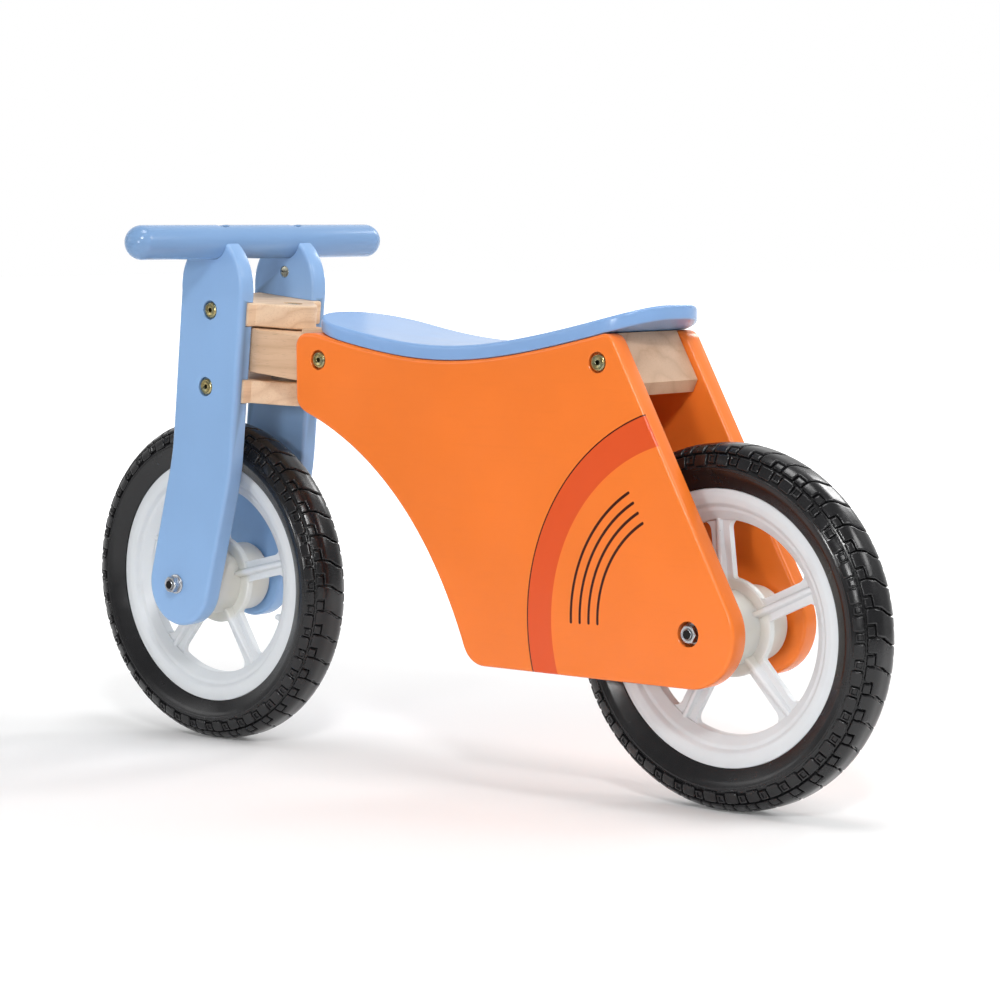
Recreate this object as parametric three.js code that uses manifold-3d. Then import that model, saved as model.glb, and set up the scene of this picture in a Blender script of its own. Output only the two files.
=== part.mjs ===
// A child's wooden balance bike: two plastic spoked wheels with rubber tyres, a frame of two
// side panels bolted to blocks, a bent plywood seat, and a fork that swivels on a raked bolt.
// Millimetres. +X is forwards, +Y is the rider's left and +Z is up. The origin lies on the
// ground, midway between the axles. The fork is drawn upright in a frame of its own, centred
// on the front axle, which is then leaned back by the rake.
import * as THREE from 'three';
import { mergeVertices } from 'three/addons/utils/BufferGeometryUtils.js';
import Module from 'manifold-3d';

const wasm = await Module();
wasm.setup();

// Clearances
const seatGap = 0.3; // between pieces that rest on or sit in each other
const trim = 2; // how far a cutter runs past the face that it cuts
const weld = 1; // how far joined solids run into each other

// Wheels
const wheelbase = 571.5;
const tyreRadius = 145;
const tyreWidth = 44;
const treadFlatWidth = 8; // flat middle of the tread
const tyreSideAngle = 25; // the round side starts this far below its widest point
const rimRadius = 110; // top of the rim's flanges
const rimWidth = 29;
const rimFlange = 2.2; // thickness of a flange
const rimWellDepth = 7; // depth of the tyre's seat below the flanges
const rimInnerRadius = 85; // edge of the spoke windows
const rimLip = 9; // thickness there
const rimStep = 4; // inner ring below the flange's face
const rimRingReach = 7; // inner ring's inside edge, outside the spoke windows
const rimRingWidth = 4;
const rimRingSlope = 1.8; // between the inner ring and the flange's face
const hubRadius = 30.5;
const hubLength = 68;
const hubChamfer = 1.5;
const webRadius = 39.5; // flat ring round the hub
const webThickness = 7;
const spokeCount = 5;
const spokeWidth = 18;
const spokeInset = 1; // spokes thinner than the web
const spokeRibWidth = 4;
const spokeRibHeight = 5; // stands out of each side of the web
const pegWidth = 5;
const pegLength = 8;
const pegAngle = 34.4; // from a spoke, in degrees
const rearWheelAngle = 11.9; // first spoke above the forward direction
const frontWheelAngle = 167.1;
const bearingRadius = 11;
const bearingWidth = 7;
const hubCoreRadius = 9; // bore between the bearings

// Axles
const axleRadius = 4;
const axleHeadFlats = 13;
const axleHeadHeight = 5.3;
const axleNutHeight = 6.2;
const axleFlangeRadius = 8.7;
const axleFlangeThickness = 1.6;
const axleEndProud = 1.2; // thread past the nut
const axleSinkGap = 1.3; // counterbore round the rear flanges
const frontWasherThickness = 1.9;
const rearSpacerLength = 4.4;
const spacerRadius = 6.6;

// Fork and steering
const rake = 6.2; // degrees, leaning back
const forkOffset = 70.5; // front axle ahead of the steering axis
const tyreClearance = 25.6; // tyre to lower bridge, along the steering axis
const bridgeThickness = 20.7;
const lowerGap = 7.1; // lower bridge to head block
const headHeight = 38.3; // head block, on the steering axis
const upperGap = 1.6; // head block to upper bridge
const barRise = 49.4; // handlebar axis above the upper bridge
const bladeThickness = 17.5;
const bladeEase = 3; // rounding of the blade's edges
const bladeWidth = 75;
const bladeSetback = 11.2; // blade's back edge ahead of the steering axis
const boltLineShift = 0.2; // fork bolts and handlebar behind the blade's middle
const bladeFootRadius = 37;
const bladeFootShift = 2.5; // foot's centre behind the axle
const bladeBendDrop = 54; // bend in the front edge below the lower bridge
const bladeBendStagger = 10; // bend in the back edge below the front one
const bladeBendReach = 17; // length of the bends' rounding, each way
const bladeNarrowing = 0.6; // width lost from the shoulder to the bends
const bladeShoulderDrop = 46.5; // start of the rounded top below the handlebar axis
const bladeCrownRise = 5; // top of the rounded outline above the handlebar axis
const bladeCrownReach = 24; // near-level part of the crown, each way
const bladeCrownFall = 1.5; // fall of the crown over that reach
const bladeFrontShoulder = { bulge: 4, reach: 27 }; // pull of the edges on the crown's curve
const bladeBackShoulder = { bulge: 1.5, reach: 23 };
const bridgeDado = 9; // depth that the bridges are housed in a blade
const bridgeNoseRadius = 21.5;
const bridgeBackEdge = 9.4; // ahead of the steering axis, at the blades
const bridgeFrontInset = 6.5; // behind the blade's front edge
const bridgeEase = 2;
const barRadius = 14.9;
const barLength = 307;

// Steering bolt
const pivotRadius = 4;
const pivotHeadRadius = 8;
const pivotHeadHeight = 3.6;
const pivotHeadSink = 0.8; // head below the upper bridge's top
const pivotSocket = 5;
const pivotSocketDepth = 2.4;
const pivotBoreRadius = 8.6;
const pivotNutFlats = 13;
const pivotNutHeight = 6.5;
const pivotNutSink = 0.6; // nut above the lower bridge's underside
const pivotWasherRadius = 8;
const pivotWasherThickness = 1.2;
const bushWall = 1.6;
const bushLength = 14;
const bushFlangeRadius = 13;
const lowerBushFlange = 1.5;
const thrustWasherRadius = 15;

// Frame
const panelThickness = 18;
const panelEase = 2.5;
const panelSetback = 59.5; // front edge behind the steering axis, at the top of the head block
const panelFootRadius = 43; // round end about the rear axle
const panelFootReach = 207.8; // straight bottom edge ahead of the rear axle
const panelToe = { reach: 24, rise: 20, ease: 6 }; // rounded end of the bottom edge
const panelThroatDrop = 54.2; // foot of the front edge below the seat's deck
const panelThroat = { reach: 11.4, drop: 13.8, ease: 5 }; // rounding below that foot
const archLow = { reach: 34, rise: 86 }; // pull of the arch between the two, at its ends
const archHigh = { reach: 83, drop: 32 };
const panelCorner = 12; // top front corner
const panelBackCorner = 8; // reach of the top rear corner's rounding
const deckDrop = 1.4; // panel tops below the top of the head block on the axis
const shoulderRise = 2.7; // back of the head block above the panel tops
const landingReach = 49; // raked landing of the head block, behind the steering axis
const blockSideGap = 0.9; // head block narrower than the panels stand apart, each side
const panelBoltInset = 26.7; // front bolts behind the panel's front edge
const panelBoltDrop = 22.6; // bolts below the panel's top edge
const rearBoltInset = 13.1; // rear bolts ahead of the panel's top rear corner
const headBlockTail = 21; // head block behind its bolts
const rearBlockHeight = 49;
const rearBlockLength = 41;
const rearBlockInset = 5.6; // rear block inside the panel's back edge
const blockChamfer = 10;

// Seat
const seatLength = 364;
const seatWidth = 112;
const seatThickness = 12;
const seatFrontRadius = 52;
const seatRearRadius = 45;
const seatFrontSetback = 1; // seat's front end behind the panel's front edge
const seatLowPoint = 166; // lowest place behind the front end
const seatSag = 20.1; // lowest place below the front deck
const seatBendLength = 110;
const seatFrontRise = 31.5;
const seatRearRise = 29.5;
const seatOverhang = 23; // behind the panel's top rear corner

// Furniture bolts, barrel nuts and screws
const boltRadius = 3;
const boltHeadRadius = 7;
const boltHeadHeight = 3;
const boltHeadChamfer = 1.1;
const boltSocket = 4; // across the flats
const boltSocketDepth = 2.2;
const boltBoreRadius = 8.4;
const boltBoreDepth = 3.6;
const boltReach = 26; // tip inside the block or bridge
const barrelRadius = 5;
const barrelLength = 14;
const barrelReach = 16; // centre inside the block or bridge
const barScrewRadius = 3;
const barScrewHeadRadius = 5.8;
const barScrewSink = 3; // head below the top of the handlebar
const barScrewRim = 1; // straight edge of the countersunk head
const barScrewTail = 5; // thread past the barrel nut
const barNutDrop = 27.2; // barrel nut below the handlebar's axis
const barNutSlot = { width: 1.6, depth: 1.2 };
const seatScrewRadius = 2;
const seatScrewHeadRadius = 4;
const seatScrewBite = 8; // thread inside the seat
const seatScrewPoint = 2; // length of the tapered tip
const seatScrewHeadHeight = 2.6;
const seatScrewPitch = 20; // between the two screws of a block
const frontScrewLead = 4; // the front pair's middle ahead of the head block's bolts
const rearScrewLead = 9; // the rear pair's middle ahead of the rear block's bolts
const seatScrewSink = 20; // depth of the head's pocket in the block's underside

// Fineness of the facets
const wheelSegments = 48;
const hubSegments = 24;
const smallSegments = 14;
const holeSegments = 10;
const curveSteps = 5;
const treadArcSteps = 5;
const domeSteps = 5;
const seatSteps = 24;
const topStep = 20; // spacing of the points along the curved top edges

// Sizes that follow from the ones above
const rad = THREE.MathUtils.degToRad;
const rakeTan = Math.tan(rad(rake));
const axleHeight = tyreRadius;
const frontAxleX = wheelbase / 2;
const rearAxleX = -wheelbase / 2;
const forkGap = hubLength + 2 * (frontWasherThickness + 2 * seatGap);
const panelGap = hubLength + 2 * (rearSpacerLength + 2 * seatGap);
const bladeOuter = forkGap / 2 + bladeThickness;
const panelOuter = panelGap / 2 + panelThickness;
const lowerBridgeZ = tyreRadius + tyreClearance;
const headZ = lowerBridgeZ + bridgeThickness + lowerGap;
const headTopZ = headZ + headHeight;
const upperBridgeZ = headTopZ + upperGap;
const upperBridgeTopZ = upperBridgeZ + bridgeThickness;
const barZ = upperBridgeTopZ + barRise;
const pivotX = -forkOffset;
const bladeBackX = pivotX + bladeSetback;
const bladeFrontX = bladeBackX + bladeWidth;
const boltLineX = (bladeBackX + bladeFrontX) / 2 - boltLineShift;

// Where a point of the fork's own upright frame lies in the bike's side view
function leaned(x, z) {
  const c = Math.cos(rad(rake));
  const s = Math.sin(rad(rake));
  return { x: frontAxleX + x * c - z * s, z: axleHeight + x * s + z * c };
}

const headTop = leaned(pivotX, headTopZ);
const deckZ = headTop.z - deckDrop;
const panelFrontX = headTop.x - panelSetback;
const seatFrontX = panelFrontX - seatFrontSetback;
const seatRearX = seatFrontX - seatLength;
const seatLowX = seatFrontX - seatLowPoint;
const panelBackX = seatRearX + seatOverhang;
const rearDeckX = panelBackX + panelBackCorner;

// Height of the seat's underside: a board bent up to both ends
function seatUnder(x) {
  const reach = (x - seatLowX) / seatBendLength;
  const rise = x > seatLowX ? seatFrontRise : seatRearRise;
  return deckZ - seatSag + rise * (Math.sqrt(1 + reach * reach) - 1);
}

const rearDeckZ = seatUnder(rearDeckX) - seatGap;

// Top edge of the panels and blocks: level decks at both ends, and the seat's curve between
function topLine(x, frontDeck = deckZ) {
  const under = seatUnder(x) - seatGap;
  return Math.min(x > seatLowX ? frontDeck : rearDeckZ, under);
}

const frontBolt = { x: panelFrontX - panelBoltInset, z: deckZ - panelBoltDrop };
const rearBolt = { x: panelBackX + rearBoltInset, z: rearDeckZ - panelBoltDrop };

// ---- Helpers ----

// A closed geometry as a manifold solid
function solid(geometry) {
  const bare = geometry.clone();
  bare.deleteAttribute('normal');
  bare.deleteAttribute('uv');
  const merged = mergeVertices(bare, 1e-4);
  const index = merged.index.array;
  const kept = [];
  for (let i = 0; i < index.length; i += 3) {
    const [a, b, c] = [index[i], index[i + 1], index[i + 2]];
    if (a !== b && b !== c && c !== a) kept.push(a, b, c);
  }
  const vertProperties = new Float32Array(merged.attributes.position.array);
  const triVerts = new Uint32Array(kept);
  return new wasm.Manifold(new wasm.Mesh({ numProp: 3, vertProperties, triVerts }));
}

// A manifold solid as a geometry
function shell(body) {
  const mesh = body.getMesh();
  const geometry = new THREE.BufferGeometry();
  geometry.setAttribute('position', new THREE.BufferAttribute(mesh.vertProperties, 3));
  geometry.setIndex(new THREE.BufferAttribute(mesh.triVerts, 1));
  return geometry;
}

function cut(geometry, cutters) {
  return shell(cutters.reduce((body, cutter) => body.subtract(solid(cutter)), solid(geometry)));
}

function join(geometries) {
  return shell(geometries.map(solid).reduce((body, other) => body.add(other)));
}

function common(geometry, other) {
  return shell(solid(geometry).intersect(solid(other)));
}

// A turned piece about the Y axis. The profile's pairs are radius and y, taken upwards on the
// outside and, where the piece has a bore, back down on the inside.
function turned(profile, segments = smallSegments) {
  const points = profile.map(([radius, y]) => new THREE.Vector2(radius, y));
  const half = Math.PI / segments;
  return new THREE.LatheGeometry(points, segments, half, 2 * Math.PI);
}

function rod(radius, from, to, segments = smallSegments) {
  return turned([[0, from], [radius, from], [radius, to], [0, to]], segments);
}

function ring(outer, inner, from, to, segments = smallSegments) {
  const profile = [[inner, from], [outer, from], [outer, to], [inner, to], [inner, from]];
  return turned(profile, segments);
}

// The same pieces stood up along Z
function upright(geometry) {
  return geometry.rotateX(Math.PI / 2);
}

// A hexagonal prism along Y
function hexPrism(flats, from, to) {
  const shape = new THREE.Shape();
  const radius = flats / Math.sqrt(3);
  for (let i = 0; i < 6; i += 1) {
    const angle = (i * Math.PI) / 3;
    const corner = [radius * Math.cos(angle), radius * Math.sin(angle)];
    if (i === 0) shape.moveTo(...corner);
    else shape.lineTo(...corner);
  }
  const geometry = new THREE.ExtrudeGeometry(shape, { depth: to - from, bevelEnabled: false });
  return geometry.rotateX(Math.PI / 2).translate(0, to, 0);
}

// A plate cut to a side-view outline, lying between two Y planes, with its edges eased
function plate(shape, yLow, yHigh, ease = 0) {
  const geometry = new THREE.ExtrudeGeometry(shape, {
    depth: yHigh - yLow - 2 * ease,
    bevelEnabled: ease > 0,
    bevelThickness: ease,
    bevelSize: ease,
    bevelOffset: -ease,
    bevelSegments: 1,
    curveSegments: curveSteps,
  });
  return geometry.rotateX(Math.PI / 2).translate(0, yHigh - ease, 0);
}

// A level plate cut to a plan-view outline
function board(shape, zLow, zHigh, ease = 0) {
  const geometry = new THREE.ExtrudeGeometry(shape, {
    depth: zHigh - zLow - 2 * ease,
    bevelEnabled: ease > 0,
    bevelThickness: ease,
    bevelSize: ease,
    bevelOffset: -ease,
    bevelSegments: 1,
    curveSegments: curveSteps,
  });
  return geometry.translate(0, 0, zLow + ease);
}

// Angle at which a line from a point touches a circle, on its left or right side
function touchAngle(point, centre, radius, side) {
  const dx = point.x - centre.x;
  const dz = point.z - centre.z;
  return Math.atan2(dz, dx) + side * Math.acos(radius / Math.hypot(dx, dz));
}

function onCircle(centre, radius, angle) {
  return { x: centre.x + radius * Math.cos(angle), z: centre.z + radius * Math.sin(angle) };
}

// Takes an outline round a corner between two straight runs, easing it over a reach
function bend(shape, from, corner, to, reach) {
  const towards = (end) => {
    const share = reach / Math.hypot(end.x - corner.x, end.z - corner.z);
    return [corner.x + (end.x - corner.x) * share, corner.z + (end.z - corner.z) * share];
  };
  shape.lineTo(...towards(from));
  shape.quadraticCurveTo(corner.x, corner.z, ...towards(to));
}

function paint(color, roughness, metalness = 0) {
  return { color, roughness, metalness };
}

const finishes = {
  bluePaint: paint(0x8aaedd, 0.45),
  orangePaint: paint(0xf6823c, 0.45),
  paleWood: paint(0xdebe9b, 0.55),
  whitePlastic: paint(0xd7d9da, 0.4),
  rubber: paint(0x28262a, 0.85),
  yellowZinc: paint(0xb09a5c, 0.35, 1),
  brightZinc: paint(0xb8babc, 0.3, 1),
  steel: paint(0x8c8e90, 0.35, 1),
  nylon: paint(0xe6e4dc, 0.5),
};

const bike = new THREE.Group();
const fork = new THREE.Group();
fork.position.set(frontAxleX, 0, axleHeight);
fork.rotation.y = -rad(rake);
bike.add(fork);

function add(group, name, geometry, finish, x = 0, y = 0, z = 0) {
  const mesh = new THREE.Mesh(geometry, new THREE.MeshStandardMaterial(finishes[finish]));
  mesh.name = name;
  mesh.position.set(x, y, z);
  group.add(mesh);
  return mesh;
}

const sides = [['left', 1], ['right', -1]];

// ---- Wheels ----

function tyreGeometry() {
  const crown = tyreRadius / Math.cos(Math.PI / wheelSegments);
  const bed = rimRadius - rimWellDepth + seatGap;
  const beadHalf = rimWidth / 2 - rimFlange - seatGap;
  const lip = rimRadius + seatGap;
  const half = tyreWidth / 2;
  const flat = treadFlatWidth / 2;
  const outside = [
    [bed, -beadHalf],
    [lip, -beadHalf],
    [lip, -rimWidth / 2],
  ];
  for (let i = 0; i <= treadArcSteps; i += 1) {
    const angle = rad(-tyreSideAngle + ((90 + tyreSideAngle) * i) / treadArcSteps);
    const middle = crown - half + flat;
    outside.push([middle + (half - flat) * Math.sin(angle), -flat - (half - flat) * Math.cos(angle)]);
  }
  const mirrored = outside.map(([radius, y]) => [radius, -y]).reverse();
  return turned([...outside, ...mirrored, outside[0]], wheelSegments);
}

function rimGeometry() {
  const half = rimWidth / 2;
  const well = rimRadius - rimWellDepth;
  const ringInner = rimInnerRadius + rimRingReach;
  const ringOuter = ringInner + rimRingWidth;
  const side = [
    [rimInnerRadius, rimLip / 2],
    [ringInner, half - rimStep],
    [ringOuter, half - rimStep],
    [ringOuter + rimRingSlope, half],
    [rimRadius, half],
    [rimRadius, half - rimFlange],
    [well, half - rimFlange],
  ];
  const lower = side.map(([radius, y]) => [radius, -y]);
  const rimRing = turned([...lower, ...side.reverse(), lower[0]], wheelSegments);

  const hubHalf = hubLength / 2;
  const seatDepth = bearingWidth + seatGap;
  const seatRadius = bearingRadius + seatGap;
  const hub = turned([
    [seatRadius, -hubHalf],
    [hubRadius - hubChamfer, -hubHalf],
    [hubRadius, -hubHalf + hubChamfer],
    [hubRadius, hubHalf - hubChamfer],
    [hubRadius - hubChamfer, hubHalf],
    [seatRadius, hubHalf],
    [seatRadius, hubHalf - seatDepth],
    [hubCoreRadius, hubHalf - seatDepth],
    [hubCoreRadius, -hubHalf + seatDepth],
    [seatRadius, -hubHalf + seatDepth],
    [seatRadius, -hubHalf],
  ], hubSegments);
  const web = ring(webRadius, hubRadius - weld, -webThickness / 2, webThickness / 2, hubSegments);

  const pieces = [rimRing, hub, web];
  const reach = rimInnerRadius - hubRadius + 2 * weld;
  const middle = (rimInnerRadius + hubRadius) / 2;
  const spokeThickness = webThickness - spokeInset;
  for (let i = 0; i < spokeCount; i += 1) {
    const turn = (-i * 2 * Math.PI) / spokeCount;
    for (const [thickness, width] of [
      [spokeThickness, spokeWidth],
      [spokeThickness + 2 * spokeRibHeight, spokeRibWidth],
    ]) {
      const bar = new THREE.BoxGeometry(reach, thickness, width);
      pieces.push(bar.translate(middle, 0, 0).rotateY(turn));
    }
  }
  const peg = new THREE.BoxGeometry(pegLength, webThickness, pegWidth);
  pieces.push(peg.translate(rimInnerRadius + weld - pegLength / 2, 0, 0).rotateY(-rad(pegAngle)));
  return join(pieces);
}

function bearingGeometry() {
  const half = bearingWidth / 2;
  return ring(bearingRadius, axleRadius + seatGap, -half, half, hubSegments);
}

function addWheel(end, x, angle) {
  const wheel = new THREE.Group();
  wheel.position.set(x, 0, axleHeight);
  bike.add(wheel);
  add(wheel, `${end}_tyre`, tyreGeometry(), 'rubber');
  add(wheel, `${end}_wheel_rim`, rimGeometry(), 'whitePlastic').rotation.y = -rad(angle);
  for (const [side, sign] of sides) {
    const y = sign * (hubLength - bearingWidth) / 2;
    add(wheel, `${end}_bearing_${side}`, bearingGeometry(), 'steel', 0, y, 0);
  }
}

// An axle bolt from its seat on the right to its end past the nut on the left
function addAxle(end, x, seat) {
  const nutSeat = seat + seatGap;
  const nutFlange = nutSeat + axleFlangeThickness;
  const nutTop = nutFlange + axleNutHeight;
  const headEnd = -nutFlange - axleHeadHeight;
  const bolt = join([
    rod(axleRadius, -nutFlange, nutTop + axleEndProud),
    rod(axleFlangeRadius, -nutFlange, -nutSeat),
    hexPrism(axleHeadFlats, headEnd, -nutFlange + weld / 2),
  ]);
  const nutBody = join([
    rod(axleFlangeRadius, nutSeat, nutFlange),
    hexPrism(axleHeadFlats, nutFlange - weld / 2, nutTop),
  ]);
  const nut = cut(nutBody, [rod(axleRadius + seatGap, nutSeat - trim, nutTop + trim)]);
  add(bike, `${end}_axle_bolt`, bolt, 'brightZinc', x, 0, axleHeight);
  add(bike, `${end}_axle_nut`, nut, 'brightZinc', x, 0, axleHeight);
}

function addSpacers(names, x, length) {
  for (const [side, sign] of sides) {
    const y = sign * (hubLength / 2 + seatGap + length / 2);
    const spacer = ring(spacerRadius, axleRadius + seatGap, -length / 2, length / 2);
    add(bike, `${names}_${side}`, spacer, 'brightZinc', x, y, axleHeight);
  }
}

// ---- Furniture bolts and barrel nuts ----

// A flat-headed bolt along Y, its head's seat at y = 0 and its head on the plus side
function flatBolt(reach) {
  const body = join([
    rod(boltRadius, -reach, weld / 2),
    turned([
      [0, 0],
      [boltHeadRadius, 0],
      [boltHeadRadius, boltHeadHeight - boltHeadChamfer],
      [boltHeadRadius - boltHeadChamfer, boltHeadHeight],
      [0, boltHeadHeight],
    ]),
  ]);
  return cut(body, [hexPrism(boltSocket, boltHeadHeight - boltSocketDepth, boltHeadHeight + trim)]);
}

function barrelNut(length, holeRadius) {
  const end = barrelRadius + trim;
  const hole = upright(rod(holeRadius + seatGap, -end, end, holeSegments));
  return cut(rod(barrelRadius, -length / 2, length / 2), [hole]);
}

// The bore and counterbore that a flat bolt needs in a plate whose outer face is at y = face
function boltBore(face, depth, x, z, sign) {
  const shank = rod(boltRadius + seatGap, face - depth - trim, face + trim, holeSegments);
  const sink = rod(boltBoreRadius, face - boltBoreDepth, face + trim, smallSegments);
  return [shank, sink].map((g) => (sign > 0 ? g : g.rotateZ(Math.PI)).translate(x, 0, z));
}

// The bolt hole and barrel-nut hole that it needs in a block whose side is at y = side
function nutBore(side, x, z, bottom, sign) {
  const shank = rod(boltRadius + seatGap, side - boltReach - 2 * seatGap, side + trim, holeSegments);
  const turnedShank = sign > 0 ? shank : shank.rotateZ(Math.PI);
  const top = z + barrelLength / 2 + seatGap;
  const pocket = upright(rod(barrelRadius + seatGap, bottom - trim, top));
  return [turnedShank.translate(x, 0, z), pocket.translate(x, sign * (side - barrelReach), 0)];
}

function addBoltPair(group, names, x, z, face, side) {
  const headSeat = face - boltBoreDepth + seatGap;
  const reach = headSeat - side + boltReach;
  for (const [label, sign] of sides) {
    const bolt = add(group, `${names}_bolt_${label}`, flatBolt(reach), 'yellowZinc');
    bolt.position.set(x, sign * headSeat, z);
    if (sign < 0) bolt.rotation.z = Math.PI;
    const nut = upright(barrelNut(barrelLength, boltRadius));
    const nutMesh = add(group, `${names}_barrel_nut_${label}`, nut, 'steel');
    nutMesh.position.set(x, sign * (side - barrelReach), z);
  }
}

// ---- Frame ----

const rearAxle = { x: rearAxleX, z: axleHeight };
const backCorner = { x: panelBackX, z: rearDeckZ };
const panelTouch = touchAngle(backCorner, rearAxle, panelFootRadius, 1);

// Unit vector along the panel's back edge, from its foot to its top
const backRun = { x: Math.sin(panelTouch), z: -Math.cos(panelTouch) };

function addTopLine(shape, from, to, frontDeck = deckZ) {
  const steps = Math.ceil(Math.abs(to - from) / topStep);
  for (let i = 0; i <= steps; i += 1) {
    const x = from + ((to - from) * i) / steps;
    shape.lineTo(x, topLine(x, frontDeck));
  }
}

function panelShape() {
  const toe = { x: rearAxleX + panelFootReach, z: axleHeight - panelFootRadius };
  const throat = { x: panelFrontX, z: deckZ - panelThroatDrop };
  const low = { x: toe.x + panelToe.reach, z: toe.z + panelToe.rise };
  const high = { x: throat.x - panelThroat.reach, z: throat.z - panelThroat.drop };
  const backStart = {
    x: backCorner.x - panelBackCorner * backRun.x,
    z: backCorner.z - panelBackCorner * backRun.z,
  };
  const cornerZ = deckZ - panelCorner;
  const shape = new THREE.Shape();
  shape.moveTo(toe.x, toe.z);
  shape.quadraticCurveTo(low.x - panelToe.ease, toe.z, low.x, low.z);
  shape.bezierCurveTo(
    low.x + archLow.reach, low.z + archLow.rise,
    high.x - archHigh.reach, high.z - archHigh.drop,
    high.x, high.z,
  );
  shape.quadraticCurveTo(throat.x, high.z + panelThroat.ease, throat.x, throat.z);
  shape.lineTo(panelFrontX, cornerZ);
  shape.absarc(panelFrontX - panelCorner, cornerZ, panelCorner, 0, Math.PI / 2);
  addTopLine(shape, panelFrontX - panelCorner - weld, rearDeckX);
  shape.quadraticCurveTo(backCorner.x, backCorner.z, backStart.x, backStart.z);
  shape.absarc(rearAxleX, axleHeight, panelFootRadius, panelTouch, 1.5 * Math.PI);
  shape.closePath();
  return shape;
}

const rearSinkDepth = axleFlangeThickness + axleNutHeight;
const rearAxleSeat = panelOuter - rearSinkDepth;

function panelGeometry(sign) {
  const low = sign > 0 ? panelGap / 2 : -panelOuter;
  const blank = plate(panelShape(), low, low + panelThickness, panelEase);
  const axleHole = rod(axleRadius + seatGap, -panelOuter - trim, panelOuter + trim);
  const sinkLow = sign > 0 ? rearAxleSeat : -panelOuter - trim;
  const sinkHigh = sinkLow + rearSinkDepth + trim;
  const sink = rod(axleFlangeRadius + axleSinkGap, sinkLow, sinkHigh, hubSegments);
  return cut(blank, [
    axleHole.translate(rearAxleX, 0, axleHeight),
    sink.translate(rearAxleX, 0, axleHeight),
    ...boltBore(panelOuter, panelThickness, frontBolt.x, frontBolt.z, sign),
    ...boltBore(panelOuter, panelThickness, rearBolt.x, rearBolt.z, sign),
  ]);
}

const blockHalf = panelGap / 2 - blockSideGap;
const rearBlockHalf = panelGap / 2 - seatGap;
const headBlockBackX = frontBolt.x - headBlockTail;

// Height of the head block's raked underside or top where it crosses x in the side view
function rakedHeight(level, x) {
  const onAxis = leaned(pivotX, level);
  return onAxis.z + (x - onAxis.x) * rakeTan;
}

// Side-view outline of the head block, before its nose is rounded
function headBlockShape() {
  const shape = new THREE.Shape();
  const noseX = headTop.x + 2 * blockHalf;
  const stepX = headTop.x - landingReach;
  const shoulder = deckZ + shoulderRise;
  shape.moveTo(headBlockBackX, rakedHeight(headZ, headBlockBackX));
  shape.lineTo(noseX, rakedHeight(headZ, noseX));
  shape.lineTo(noseX, rakedHeight(headTopZ, noseX));
  shape.lineTo(stepX, rakedHeight(headTopZ, stepX));
  shape.lineTo(stepX, shoulder);
  addTopLine(shape, panelFrontX, headBlockBackX, shoulder);
  shape.closePath();
  return shape;
}

const bushOuter = pivotRadius + seatGap + bushWall;

// A pair of seat screws stands in each block, on the bike's centre line
function seatScrewPair(middle) {
  return [middle - seatScrewPitch / 2, middle + seatScrewPitch / 2];
}

const frontScrewXs = seatScrewPair(frontBolt.x + frontScrewLead);
const rearScrewXs = seatScrewPair(rearBolt.x + rearScrewLead);

function seatScrewBore(x, bottom) {
  const top = seatUnder(x) + seatScrewBite + seatGap;
  const shank = rod(seatScrewRadius + seatGap, bottom - trim, top, holeSegments);
  const pocketRadius = seatScrewHeadRadius + seatGap;
  const pocket = rod(pocketRadius, bottom - trim, bottom + seatScrewSink, holeSegments);
  return [upright(shank).translate(x, 0, 0), upright(pocket).translate(x, 0, 0)];
}

// Moves a geometry from the fork's upright frame to its place on the bike
function lean(geometry) {
  return geometry.rotateY(-rad(rake)).translate(frontAxleX, 0, axleHeight);
}

function headBlockGeometry() {
  const plan = new THREE.Shape();
  const tail = pivotX - (headTop.x - headBlockBackX) - 2 * blockHalf;
  plan.moveTo(tail, -blockHalf);
  plan.lineTo(pivotX, -blockHalf);
  plan.absarc(pivotX, 0, blockHalf, -Math.PI / 2, Math.PI / 2);
  plan.lineTo(tail, blockHalf);
  plan.closePath();
  const rounded = lean(board(plan, headZ - headHeight, headTopZ + headHeight));
  const profile = plate(headBlockShape(), -blockHalf - trim, blockHalf + trim);
  const bore = upright(rod(bushOuter + seatGap, headZ - trim, headTopZ + trim));
  const bottom = rakedHeight(headZ, frontBolt.x);
  return cut(common(rounded, profile), [
    lean(bore.translate(pivotX, 0, 0)),
    ...sides.flatMap(([, sign]) => nutBore(blockHalf, frontBolt.x, frontBolt.z, bottom, sign)),
    ...frontScrewXs.flatMap((x) => seatScrewBore(x, rakedHeight(headZ, x))),
  ]);
}

function rearBlockGeometry() {
  const low = rearDeckZ - rearBlockHeight;
  const front = rearBolt.x + rearBlockLength - rearBoltInset;
  // Where the block's back face, a step inside the panels' back edge, crosses a height
  const onBack = (z) => {
    const startX = backCorner.x + rearBlockInset * backRun.z;
    const startZ = backCorner.z - rearBlockInset * backRun.x;
    return startX + ((z - startZ) * backRun.x) / backRun.z;
  };
  const shape = new THREE.Shape();
  shape.moveTo(front, low);
  addTopLine(shape, front, rearDeckX);
  shape.lineTo(onBack(rearDeckZ), rearDeckZ);
  shape.lineTo(onBack(low + blockChamfer), low + blockChamfer);
  shape.lineTo(onBack(low) + blockChamfer, low);
  shape.closePath();
  return cut(plate(shape, -rearBlockHalf, rearBlockHalf), [
    ...sides.flatMap(([, sign]) => nutBore(rearBlockHalf, rearBolt.x, rearBolt.z, low, sign)),
    ...rearScrewXs.flatMap((x) => seatScrewBore(x, low)),
  ]);
}

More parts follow.
